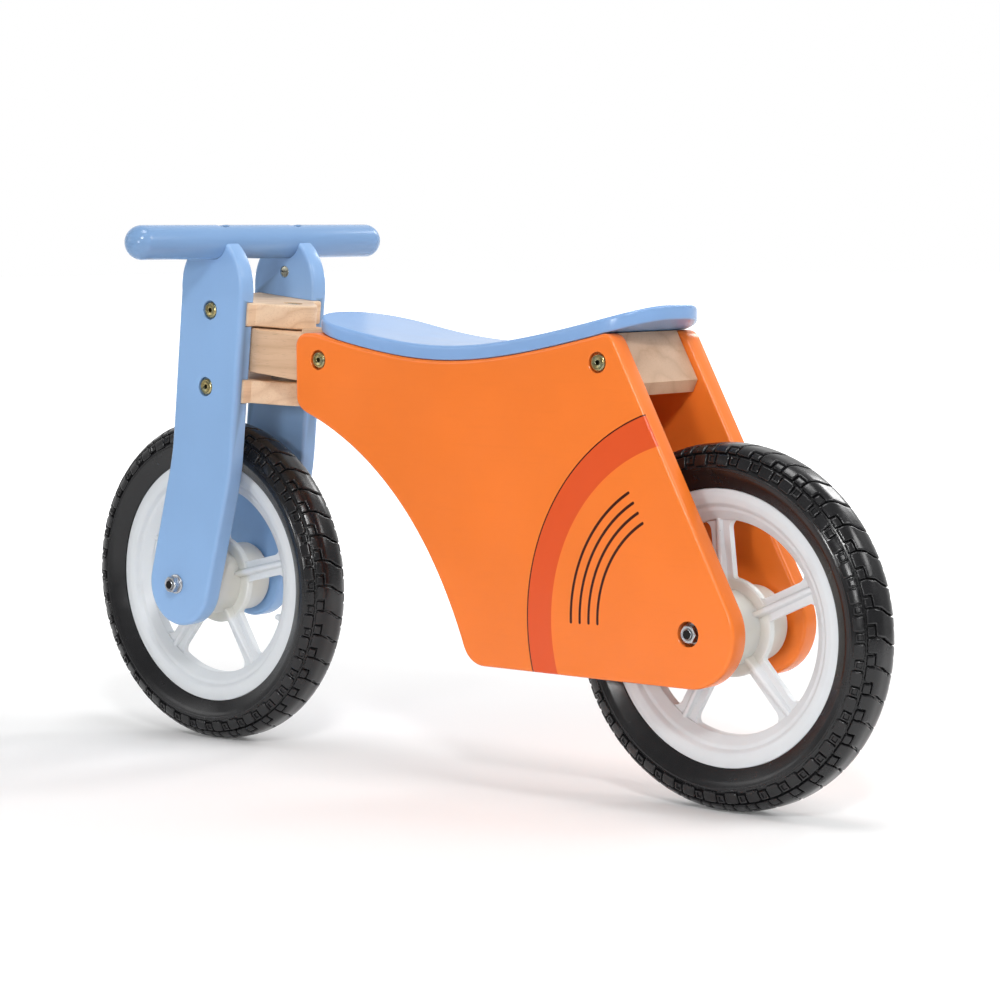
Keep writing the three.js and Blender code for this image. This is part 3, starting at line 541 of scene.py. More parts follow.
@dataclass
class Graph:
    """A node tree under construction."""

    tree: bpy.types.NodeTree

    def node(self, kind: str, **settings: object) -> Node:
        """Adds a node and sets its properties."""
        made = self.tree.nodes.new(kind)
        for name, value in settings.items():
            setattr(made, name, value)
        return made

    def feed(self, socket: Socket, value: object) -> None:
        """Links an output to a socket, or sets the socket to a plain value."""
        if isinstance(value, Socket):
            self.tree.links.new(value, socket)
        else:
            socket.default_value = value

    def fill(self, node: Node, values: dict[str, object]) -> None:
        """Feeds several inputs of a node by their names."""
        for name, value in values.items():
            self.feed(node.inputs[name], value)

    def hypot(self, across: object, up: object) -> Socket:
        """Returns the length across a right angle's two sides."""
        squares = [self.maths("POWER", side, 2.0) for side in (across, up)]
        return self.maths("SQRT", self.maths("ADD", *squares))

    def parts(self, where: object, axle: Pair | None = None) -> bpy.types.bpy_prop_collection:
        """Returns a place's X, Y and Z, about an axle of the side view if one is given."""
        split = self.node("ShaderNodeSeparateXYZ")
        if axle is not None:
            middle = (-axle[0] * MM, 0.0, -axle[1] * MM)
            where = self.vector("ADD", where, middle).outputs[0]
        self.feed(split.inputs[0], where)
        return split.outputs

    def maths(self, operation: str, *values: object, clamp: bool = False) -> Socket:
        """Returns the output of a Math node."""
        made = self.node("ShaderNodeMath", operation=operation, use_clamp=clamp)
        for socket, value in zip(made.inputs, values):
            self.feed(socket, value)
        return made.outputs[0]

    def times(self, first: object, second: object, clamp: bool = False) -> Socket:
        """Returns a product."""
        return self.maths("MULTIPLY", first, second, clamp=clamp)

    def vector(self, operation: str, *values: object) -> Node:
        """Returns a Vector Math node."""
        made = self.node("ShaderNodeVectorMath", operation=operation)
        for socket, value in zip(made.inputs, values):
            self.feed(socket, value)
        return made

    def span(
        self, value: object, low: float, high: float, to_low: float = 0.0, to_high: float = 1.0
    ) -> Socket:
        """Returns a value's place between two limits, clamped and carried to another range."""
        made = self.node("ShaderNodeMapRange", interpolation_type="SMOOTHSTEP")
        for socket, given in zip(made.inputs, (value, low, high, to_low, to_high)):
            self.feed(socket, given)
        return made.outputs[0]

    def mix(self, factor: object, first: object, second: object) -> Socket:
        """Returns a mix of two colours."""
        made = self.node("ShaderNodeMix", data_type="RGBA")
        for number, value in ((0, factor), (6, first), (7, second)):
            self.feed(made.inputs[number], value)
        return made.outputs[2]

    def noise(
        self, where: object, scale: float, detail: float = 3.0, rough: float = 0.5
    ) -> Socket:
        """Returns a noise value at a place."""
        made = self.node("ShaderNodeTexNoise")
        given = {"Vector": where, "Scale": scale, "Detail": detail, "Roughness": rough}
        self.fill(made, given)
        return made.outputs["Fac"]

    def stretched(self, where: object, scale: Point, turn: Point = (0, 0, 0)) -> object:
        """Returns coordinates scaled and turned by a Mapping node."""
        made = self.node("ShaderNodeMapping")
        self.fill(made, {"Vector": where, "Scale": scale, "Rotation": turn})
        return made.outputs[0]

    def bump(self, height: object, strength: float, depth: float, under: object = None) -> object:
        """Returns a normal from a height in metres of relief.

        Args:
            height: The height, from nought to one.
            strength: Share of the relief that shows.
            depth: The relief in metres.
            under: A normal from a coarser bump, if there is one.

        Returns:
            The bumped normal.
        """
        made = self.node("ShaderNodeBump")
        self.fill(made, {"Strength": strength, "Distance": depth, "Height": height})
        if under is not None:
            self.feed(made.inputs["Normal"], under)
        return made.outputs[0]


Colour = tuple[float, float, float]


def opaque(colour: Colour, share: float = 1.0) -> tuple[float, float, float, float]:
    """Returns a colour with full alpha, made darker or lighter by a share."""
    return (*(min(1.0, c * share) for c in colour), 1.0)


@dataclass(frozen=True)
class Finish:
    """A finish with its own node tree. Each kind draws its own surface."""

    name: str
    slot: str

    def material(self) -> bpy.types.Material:
        """Makes the material, once for each name.

        Returns:
            The material, drawn by this finish's paint method.
        """
        found = bpy.data.materials.get(self.name)
        if found:
            return found
        made = bpy.data.materials.new(self.name)
        made.use_nodes = True
        made.node_tree.nodes.clear()
        graph = Graph(made.node_tree)
        shader = graph.node("ShaderNodeBsdfPrincipled")
        out = graph.node("ShaderNodeOutputMaterial")
        graph.feed(out.inputs["Surface"], shader.outputs[0])
        self.paint(graph, shader, graph.node("ShaderNodeTexCoord").outputs["Object"])
        return made

    def paint(self, graph: Graph, shader: Node, where: object) -> None:
        """Draws the surface.

        Args:
            graph: The material's nodes.
            shader: Its principled shader.
            where: The piece's own coordinates, in metres.
        """
        raise NotImplementedError

    def worn(self, graph: Graph, where: object, scale: float = 260.0) -> object:
        """Returns a broken line of wear along outside edges."""
        edge = graph.node("ShaderNodeAttribute", attribute_name="wear").outputs["Fac"]
        patchy = graph.span(graph.noise(where, scale, 4.0, 0.6), 0.42, 0.7)
        return graph.times(edge, patchy, clamp=True)

    def paint_corner_shade(self, graph: Graph, tone: object, share: float) -> object:
        """Returns the colour, darker by a share in inside corners, as painted shade."""
        corner = graph.node("ShaderNodeAttribute", attribute_name="grime").outputs["Fac"]
        factor = graph.times(corner, share, clamp=True)
        # Painted shade: near-black mixed in where edges turn inwards.
        return graph.mix(factor, tone, opaque((0.012, 0.01, 0.008)))


@dataclass(frozen=True)
class Paint(Finish):
    """Satin paint over plywood, with a faint grain under it, paler rubbed edges and painted shade
    in inside corners.
    """

    colour: Colour
    rubbed: Colour
    grain: Point = (16.0, 420.0, 260.0)
    rough: float = 0.2

    def paint(self, graph: Graph, shader: Node, where: object) -> None:
        """Draws the painted surface, as Finish.paint says."""
        fibre = graph.noise(graph.stretched(where, self.grain), 1.0, 4.0, 0.55)
        cloud = graph.noise(where, 7.0, 2.0)
        fine = graph.noise(where, 900.0, 2.0)
        dark, light, streak = (opaque(self.colour, share) for share in (0.95, 1.03, 0.86))
        tone = graph.mix(graph.span(cloud, 0.3, 0.7), dark, light)
        tone = graph.mix(graph.span(fibre, 0.52, 0.75, 0.0, 0.12), tone, streak)
        tone = self.decorate(graph, tone, where)
        worn = self.worn(graph, where)
        tone = graph.mix(graph.times(worn, 0.05), tone, opaque(self.rubbed))
        # Painted shade: darker in inside corners, such as round the counterbores and in the
        # housings.
        tone = self.paint_corner_shade(graph, tone, 0.45)
        rough = graph.span(graph.noise(where, 22.0, 4.0), 0.3, 0.7, self.rough, self.rough + 0.06)
        rough = graph.maths("ADD", rough, graph.times(worn, 0.02))
        normal = graph.bump(fine, 0.15, 0.00002, graph.bump(fibre, 0.2, 0.00004))
        graph.fill(shader, {"Base Color": tone, "Roughness": rough, "Normal": normal})
        graph.fill(shader, {"Specular IOR Level": 0.4})

    def decorate(self, graph: Graph, tone: object, where: object) -> object:
        """Returns the colour with what is painted on it. Plain paint has nothing."""
        return tone


@dataclass(frozen=True)
class StripedPaint(Paint):
    """Paint with a broad band and four short strokes round the rear axle, outside the panels."""

    band: Colour = (0.76, 0.092, 0.018)
    line: Colour = (0.035, 0.004, 0.001)
    outer_centre: Pair = (-302.2, 145.7)
    outer_radius: float = 176.75
    inner_centre: Pair = (-299.3, 145.7)
    inner_radius: float = 149.3
    line_width: float = 1.15
    stroke_centre: Pair = (-290.0, 148.8)
    stroke_radius: float = 92.8
    stroke_pitch: float = 8.96
    stroke_count: int = 4
    stroke_width: float = 2.4
    stroke_span: Pair = (-1.4, 59.2)
    outside: float = 55.0
    soft: float = 0.25

    def reach(self, graph: Graph, where: object, centre: Pair) -> tuple[object, object]:
        """Returns the distance from a point of the side view, in millimetres, and the angle."""
        along, _, up = graph.parts(where, centre)
        distance = graph.times(graph.hypot(along, up), 1 / MM)
        return distance, graph.maths("ARCTAN2", up, along)

    def between(self, graph: Graph, value: object, low: float, high: float) -> object:
        """Returns one where a distance lies between two others, with soft ends."""
        rise = graph.span(value, low - self.soft, low + self.soft)
        fall = graph.span(value, high - self.soft, high + self.soft, 1.0, 0.0)
        return graph.times(rise, fall)

    def strokes(self, graph: Graph, where: object) -> object:
        """Draws the short strokes, each a part of an arc with round ends.

        Args:
            graph: The material's nodes.
            where: The piece's own coordinates, in metres.

        Returns:
            One on the strokes and nought elsewhere.
        """
        radius, angle = self.reach(graph, where, self.stroke_centre)
        past_first = graph.maths("SUBTRACT", radius, self.stroke_radius)
        step = graph.maths("DIVIDE", past_first, self.stroke_pitch)
        last = float(self.stroke_count - 1)
        nearest = graph.maths("MAXIMUM", graph.maths("ROUND", step), 0.0)
        nearest = graph.maths("MINIMUM", nearest, last)
        across = graph.times(graph.maths("SUBTRACT", step, nearest), self.stroke_pitch)
        start, end = (radians(a) for a in self.stroke_span)
        off = graph.maths("ABSOLUTE", graph.maths("SUBTRACT", angle, (start + end) / 2))
        past = graph.maths("MAXIMUM", graph.maths("SUBTRACT", off, (end - start) / 2), 0.0)
        along = graph.times(past, radius)
        half = self.stroke_width / 2
        away = graph.hypot(across, along)
        return graph.span(away, half - self.soft, half + self.soft, 1.0, 0.0)

    def decorate(self, graph: Graph, tone: object, where: object) -> object:
        """Paints the band, its dark line and the strokes on.

        Args:
            graph: The material's nodes.
            tone: The colour under them.
            where: The piece's own coordinates, in metres.

        Returns:
            The colour with all three.
        """
        depth = graph.maths("ABSOLUTE", graph.parts(where)["Y"])
        face = graph.span(depth, (self.outside - 0.2) * MM, (self.outside + 0.2) * MM)
        radius, _ = self.reach(graph, where, self.outer_centre)
        inside, _ = self.reach(graph, where, self.inner_centre)
        outer, half = self.outer_radius, self.line_width / 2
        band = graph.times(face, self.between(graph, radius, 0.0, outer))
        past = graph.span(inside, self.inner_radius - self.soft, self.inner_radius + self.soft)
        band = graph.times(band, past)
        edge = self.between(graph, radius, outer - half, outer + half)
        dark = graph.maths("MAXIMUM", edge, self.strokes(graph, where))
        tone = graph.mix(band, tone, opaque(self.band))
        return graph.mix(graph.times(dark, face), tone, opaque(self.line))


@dataclass(frozen=True)
class BareWood(Finish):
    """Pale hardwood under clear lacquer, with rings, fibres and pores along its grain."""

    pale: Colour = (0.8, 0.57, 0.4)
    dark: Colour = (0.6, 0.37, 0.22)
    turn: Point = (0.0, 0.0, 0.0)
    rings: float = 150.0
    heart: Pair = (-0.45, -1.0)
    fibres: float = 0.4

    def paint(self, graph: Graph, shader: Node, where: object) -> None:
        """Draws the lacquered wood, as Finish.paint says."""
        lie = graph.stretched(where, (1.0, 1.0, 1.0), self.turn)
        sway = graph.noise(graph.stretched(lie, (4.0, 14.0, 14.0)), 1.6, 3.0)
        parts = graph.parts(lie)
        off = [graph.maths("SUBTRACT", parts[a], h) for a, h in zip("YZ", self.heart)]
        count = graph.times(graph.hypot(*off), self.rings)
        phase = graph.maths("ADD", count, graph.times(sway, 5.0))
        ring = graph.maths("POWER", graph.maths("PINGPONG", phase, 1.0), 2.6)
        fibre = graph.noise(graph.stretched(lie, (22.0, 620.0, 620.0)), 1.0, 4.0, 0.65)
        pore = graph.noise(graph.stretched(lie, (90.0, 1500.0, 1500.0)), 1.0, 2.0, 0.5)
        cloud = graph.noise(lie, 22.0, 3.0)
        tone = graph.mix(graph.times(ring, 0.55), opaque(self.pale), opaque(self.dark))
        tone = graph.mix(graph.span(fibre, 0.45, 0.75, 0.0, self.fibres), tone, opaque(self.dark))
        tone = graph.mix(graph.span(cloud, 0.45, 0.75, 0.0, 0.5), tone, opaque(self.pale, 0.86))
        flecks = graph.span(pore, 0.62, 0.72, 0.0, 0.35)
        tone = graph.mix(flecks, tone, opaque(self.dark, 0.5))
        rough = graph.span(fibre, 0.3, 0.7, 0.42, 0.58)
        relief = graph.maths("SUBTRACT", fibre, graph.times(flecks, 1.2))
        normal = graph.bump(relief, 0.5, 0.00012)
        graph.fill(shader, {"Base Color": tone, "Roughness": rough, "Normal": normal})
        graph.fill(shader, {"Specular IOR Level": 0.4})


@dataclass(frozen=True)
class MouldedPlastic(Finish):
    """Moulded plastic, a little see-through at thin edges, and creamier round the hub."""

    colour: Colour = (0.735, 0.765, 0.79)
    cream: Colour = (0.67, 0.665, 0.61)
    axle: Pair = (0.0, 0.0)
    cream_radius: float = 44.0

    def paint(self, graph: Graph, shader: Node, where: object) -> None:
        """Draws the plastic, as Finish.paint says."""
        along, _, up = graph.parts(where, self.axle)
        radius = graph.hypot(along, up)
        hub = graph.span(radius, (self.cream_radius - 8) * MM, self.cream_radius * MM, 1.0, 0.0)
        cloud = graph.noise(where, 30.0, 3.0)
        tone = graph.mix(hub, opaque(self.colour), opaque(self.cream))
        tone = graph.mix(graph.span(cloud, 0.4, 0.75, 0.0, 0.5), tone, opaque(self.colour, 0.95))
        specks = graph.span(graph.noise(where, 420.0, 1.0), 0.79, 0.82, 0.0, 0.5)
        tone = graph.mix(specks, tone, opaque((0.3, 0.27, 0.22)))
        worn = graph.times(self.worn(graph, where), 0.1)
        rough = graph.span(graph.noise(where, 60.0, 4.0), 0.3, 0.7, 0.34, 0.44)
        rough = graph.maths("ADD", rough, worn)
        normal = graph.bump(graph.noise(where, 700.0, 2.0), 0.2, 0.00003)
        graph.fill(shader, {"Base Color": tone, "Roughness": rough, "Normal": normal})
        graph.fill(shader, {"Subsurface Weight": 0.12, "Subsurface Radius": (1.0, 0.9, 0.8)})
        graph.fill(shader, {"Subsurface Scale": 0.003, "Specular IOR Level": 0.45})


@dataclass(frozen=True)
class Rubber(Finish):
    """Moulded black rubber with a fine skin and dusty, scuffed block edges."""

    colour: Colour = (0.0075, 0.0075, 0.0085)
    dusty: Colour = (0.02, 0.0198, 0.022)

    def paint(self, graph: Graph, shader: Node, where: object) -> None:
        """Draws the rubber, as Finish.paint says."""
        cloud = graph.noise(where, 26.0, 4.0, 0.6)
        skin, dust = opaque(self.colour), opaque(self.dusty)
        tone = graph.mix(graph.span(cloud, 0.4, 0.75, 0.0, 0.35), skin, dust)
        worn = self.worn(graph, where, 340.0)
        tone = graph.mix(graph.times(worn, 0.3), tone, dust)
        rough = graph.span(graph.noise(where, 48.0, 4.0, 0.6), 0.3, 0.7, 0.19, 0.28)
        rough = graph.maths("ADD", rough, graph.times(worn, 0.08))
        normal = graph.bump(graph.noise(where, 1100.0, 3.0, 0.6), 0.3, 0.00003)
        graph.fill(shader, {"Base Color": tone, "Roughness": rough, "Normal": normal})
        graph.fill(shader, {"Specular IOR Level": 0.5})


@dataclass(frozen=True)
class Metal(Finish):
    """Plated or turned steel, with faint turning marks, a shifting tint and painted shade in its
    inside corners.
    """

    colour: Colour
    tint: Colour
    rough: float = 0.28
    # Share of painted shade in inside corners.
    grime: float = 0.9

    def paint(self, graph: Graph, shader: Node, where: object) -> None:
        """Draws the metal, as Finish.paint says."""
        cloud = graph.noise(where, 170.0, 3.0)
        tone = graph.mix(graph.span(cloud, 0.4, 0.62), opaque(self.colour), opaque(self.tint))
        worn = self.worn(graph, where, 600.0)
        tone = graph.mix(graph.times(worn, 0.4), tone, opaque((0.75, 0.74, 0.72)))
        # Painted shade: darker in inside corners, such as the sockets' floors and the foot of each
        # hexagon.
        tone = self.paint_corner_shade(graph, self.paint_end_shade(graph, tone, where), self.grime)
        marks = graph.noise(graph.stretched(where, (300.0, 2600.0, 300.0)), 1.0, 3.0)
        rough = graph.span(marks, 0.3, 0.7, self.rough - 0.06, self.rough + 0.1)
        normal = graph.bump(marks, 0.2, 0.00002)
        graph.fill(shader, {"Base Color": tone, "Roughness": rough, "Normal": normal})
        graph.fill(shader, {"Metallic": 1.0})

    def paint_end_shade(self, graph: Graph, tone: object, where: object) -> object:
        """Returns the colour with painted shade at the middle. Plain metal has none."""
        return tone


@dataclass(frozen=True)
class EndShadedMetal(Metal):
    """A plated nut round the end of its bolt, with a dark disc of painted shade on the bolt's end.
    """

    axle: Pair = (0.0, 0.0)
    core: float = 3.8

    def paint_end_shade(self, graph: Graph, tone: object, where: object) -> object:
        """Returns the colour, dark near the axle at its left end, as painted shade."""
        along, side, up = graph.parts(where, self.axle)
        radius = graph.hypot(along, up)
        inside = graph.span(radius, (self.core - 0.2) * MM, self.core * MM, 1.0, 0.0)
        inside = graph.times(inside, graph.span(side, 0.0, 0.001))
        # Painted shade: a near-black disc on the bolt's end.
        return graph.mix(inside, tone, opaque((0.03, 0.028, 0.027)))


@dataclass(frozen=True)
class Nylon(Finish):
    """Natural nylon, slightly mottled."""

    colour: Colour = (0.78, 0.75, 0.67)

    def paint(self, graph: Graph, shader: Node, where: object) -> None:
        """Draws the nylon, as Finish.paint says."""
        cloud = graph.noise(where, 180.0, 3.0)
        tone = graph.mix(cloud, opaque(self.colour), opaque(self.colour, 0.85))
        rough = graph.span(cloud, 0.3, 0.7, 0.45, 0.6)
        normal = graph.bump(graph.noise(where, 900.0), 0.3, 0.00004)
        graph.fill(shader, {"Base Color": tone, "Roughness": rough, "Normal": normal})


BLUE = Paint("blue_satin", "blue_paint", (0.28, 0.47, 0.775), (0.5, 0.6, 0.8), (420.0, 260.0, 16.0))
SEAT_BLUE = Paint("blue_seat_satin", "blue_paint", (0.25, 0.43, 0.75), (0.5, 0.6, 0.8))
# Painted shade: the bar's blue is a darker copy of the blades' paint, to offset the strong light on
# top of the bar.
SHADED_BAR_BLUE = Paint(
    "blue_bar_gloss", "blue_paint", (0.22, 0.38, 0.64), (0.5, 0.6, 0.8), (420.0, 16.0, 420.0), 0.17
)
ORANGE = StripedPaint("orange_satin", "orange_paint", (0.95, 0.215, 0.03), (0.98, 0.41, 0.15))
HEAD_WOOD = BareWood("head_block_wood", "natural_wood", (0.75, 0.5, 0.32), (0.56, 0.33, 0.18))
REAR_WOOD = BareWood(
    "rear_block_wood", "natural_wood", (0.69, 0.46, 0.305), (0.47, 0.27, 0.155),
    rings=120.0, heart=(0.004, 0.32), fibres=0.2,
)
BRIDGE_WOOD = BareWood(
    "bridge_wood", "natural_wood", (0.84, 0.62, 0.43), turn=(0.0, 0.1, pi / 2), rings=190.0
)
RUBBER = Rubber("black_rubber", "tyre_rubber")
YELLOW_ZINC = Metal(
    "yellow_zinc_plate", "yellow_zinc", (0.52, 0.42, 0.18), (0.31, 0.31, 0.19), 0.24
)
BRIGHT_ZINC = Metal("bright_zinc_plate", "bright_zinc", (0.62, 0.63, 0.65), (0.55, 0.57, 0.6), 0.24)
STEEL = Metal("turned_steel", "plain_steel", (0.3, 0.3, 0.31), (0.24, 0.24, 0.25), 0.32)
SLOTTED = Metal("slotted_nut_steel", "plain_steel", (0.5, 0.49, 0.42), (0.4, 0.4, 0.33), 0.24)
NYLON = Nylon("natural_nylon", "nylon")
# Painted shade: the thrust washer is coloured dark for the shade in the gap between the head block
# and the lower bridge.
SHADE_NYLON = Nylon("dark_nylon", "nylon", (0.2, 0.17, 0.14))


def dress(
    piece: Piece,
    finish: Finish,
    body: str,
    replaces: Sequence[str] = (),
    sharp: float = 32.0,
) -> Piece:
    """Finishes a piece: its shading, its material, and its place in the assembly.

    Args:
        piece: The plain mesh object.
        finish: What it is painted or plated with.
        body: The moving body that it rides on.
        replaces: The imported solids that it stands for.
        sharp: Angle in degrees past which an edge shows sharp.

    Returns:
        The piece.
    """
    mesh = piece.data
    for polygon in mesh.polygons:
        polygon.use_smooth = True
    mesh.set_sharp_from_angle(angle=radians(sharp))
    store_edges(mesh)
    mesh.materials.clear()
    mesh.materials.append(finish.material())
    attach(piece, body)
    if replaces:
        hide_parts(*replaces)
    log.info("%s on %s: %d faces, %s", piece.name, body, len(mesh.polygons), finish.name)
    return piece


def coat(node: str, finish: Finish) -> None:
    """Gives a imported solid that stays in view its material."""
    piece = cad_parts[node]
    piece.material_slots[0].material = finish.material()
    log.info("%s kept, %s", node, finish.name)


# ---- Geometry Nodes trees for what repeats ----


@dataclass
class Tree:
    """A Geometry Nodes tree with named inputs, ending in realized instances with a finish."""

    name: str
    tree: bpy.types.NodeTree = field(init=False)
    graph: Graph = field(init=False)

    def __post_init__(self) -> None:
        """Makes the tree with its geometry input and output."""
        self.tree = bpy.data.node_groups.new(self.name, "GeometryNodeTree")
        self.graph = Graph(self.tree)
        self.socket("Geometry", "NodeSocketGeometry")
        self.socket("Geometry", "NodeSocketGeometry", "OUTPUT")

    def socket(self, name: str, kind: str, way: str = "INPUT") -> None:
        """Adds a named input, or an output."""
        self.tree.interface.new_socket(name, in_out=way, socket_type=kind)

    def close(self, instances: object, inputs: Node) -> None:
        """Ends the tree: realizes the instances and gives them their material.

        Args:
            instances: The copies.
            inputs: The tree's input node, with an input named Finish.
        """
        real = self.graph.node("GeometryNodeRealizeInstances")
        self.graph.feed(real.inputs[0], instances)
        finish = self.graph.node("GeometryNodeSetMaterial")
        given = {"Geometry": real.outputs[0], "Material": inputs.outputs["Finish"]}
        self.graph.fill(finish, given)
        out = self.graph.node("NodeGroupOutput")
        self.graph.feed(out.inputs[0], finish.outputs[0])

    def run(self, piece: Piece, values: dict[str, object]) -> Piece:
        """Runs the tree on a piece and keeps the result as its plain mesh.

        Args:
            piece: The object that carries the tree.
            values: The named inputs' values.

        Returns:
            The piece.
        """
        modifier = piece.modifiers.new(self.name, "NODES")
        modifier.node_group = self.tree
        for item in self.tree.interface.items_tree:
            if item.name in values:
                modifier[item.identifier] = values[item.name]
        apply_modifiers(piece)
        return piece


@dataclass
class Rounds(Tree):
    """Copies of the piece itself, turned evenly about the Y axis and moved to an axle."""

    name: str = "copies_round_an_axle"

    def __post_init__(self) -> None:
        """Builds the tree."""
        super().__post_init__()
        for name, kind in (
            ("Count", "NodeSocketInt"),
            ("First Angle", "NodeSocketFloat"),
            ("Axle", "NodeSocketVector"),
            ("Finish", "NodeSocketMaterial"),
        ):
            self.socket(name, kind)
        graph = self.graph
        inputs = graph.node("NodeGroupInput")
        points = graph.node("GeometryNodePoints")
        graph.feed(points.inputs["Count"], inputs.outputs["Count"])
        share = graph.maths("DIVIDE", 2 * pi, inputs.outputs["Count"])
        turn = graph.times(graph.node("GeometryNodeInputIndex").outputs[0], share)
        angle = graph.maths("ADD", turn, inputs.outputs["First Angle"])
        euler = graph.node("ShaderNodeCombineXYZ")
        graph.feed(euler.inputs["Y"], graph.times(angle, -1.0))
        copies = graph.node("GeometryNodeInstanceOnPoints")
        given = {"Points": points.outputs[0], "Instance": inputs.outputs["Geometry"]}
        graph.fill(copies, given | {"Rotation": euler.outputs[0]})
        shift = graph.node("GeometryNodeTransform")
        given = {"Geometry": copies.outputs[0], "Translation": inputs.outputs["Axle"]}
        graph.fill(shift, given)
        self.close(shift.outputs[0], inputs)


@dataclass
class Scatter(Tree):
    """Copies of another piece at the points of a mesh, each turned by its own "turn"."""

    name: str = "copies_at_points"

    def __post_init__(self) -> None:
        """Builds the tree."""
        super().__post_init__()
        self.socket("Piece", "NodeSocketObject")
        self.socket("Finish", "NodeSocketMaterial")
        graph = self.graph
        inputs = graph.node("NodeGroupInput")
        piece = graph.node("GeometryNodeObjectInfo", transform_space="ORIGINAL")
        graph.fill(piece, {"Object": inputs.outputs["Piece"], "As Instance": True})
        turn = graph.node("GeometryNodeInputNamedAttribute", data_type="FLOAT_VECTOR")
        turn.inputs["Name"].default_value = "turn"
        copies = graph.node("GeometryNodeInstanceOnPoints")
        given = {"Points": inputs.outputs["Geometry"], "Instance": piece.outputs["Geometry"]}
        graph.fill(copies, given | {"Rotation": turn.outputs[0]})
        self.close(copies.outputs[0], inputs)

    def spread(
        self,
        name: str,
        piece: Piece,
        spots: Sequence[tuple[Point, Point]],
        finish: Finish,
    ) -> Piece:
        """Copies a piece to some spots and discards the original.

        Args:
            name: Name of the result.
            piece: The piece that is copied.
            spots: Each copy's place in millimetres and its turn.
            finish: The copies' finish.

        Returns:
            One plain mesh object with all the copies.
        """
        mesh = bpy.data.meshes.new(name)
        mesh.from_pydata([Vector(place) * MM for place, _ in spots], [], [])
        layer = mesh.attributes.new("turn", "FLOAT_VECTOR", "POINT")
        for item, (_, turn) in zip(layer.data, spots):
            item.vector = turn
        made = linked(name, mesh)
        self.run(made, {"Piece": piece, "Finish": finish.material()})
        discard(piece)
        return made


# ---- Sizes shared by several pieces ----


def middle_of(node: str) -> Vector:
    """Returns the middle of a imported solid's box, in millimetres."""
    low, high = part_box(node)
    return (Vector(low) + Vector(high)) / (2 * MM)


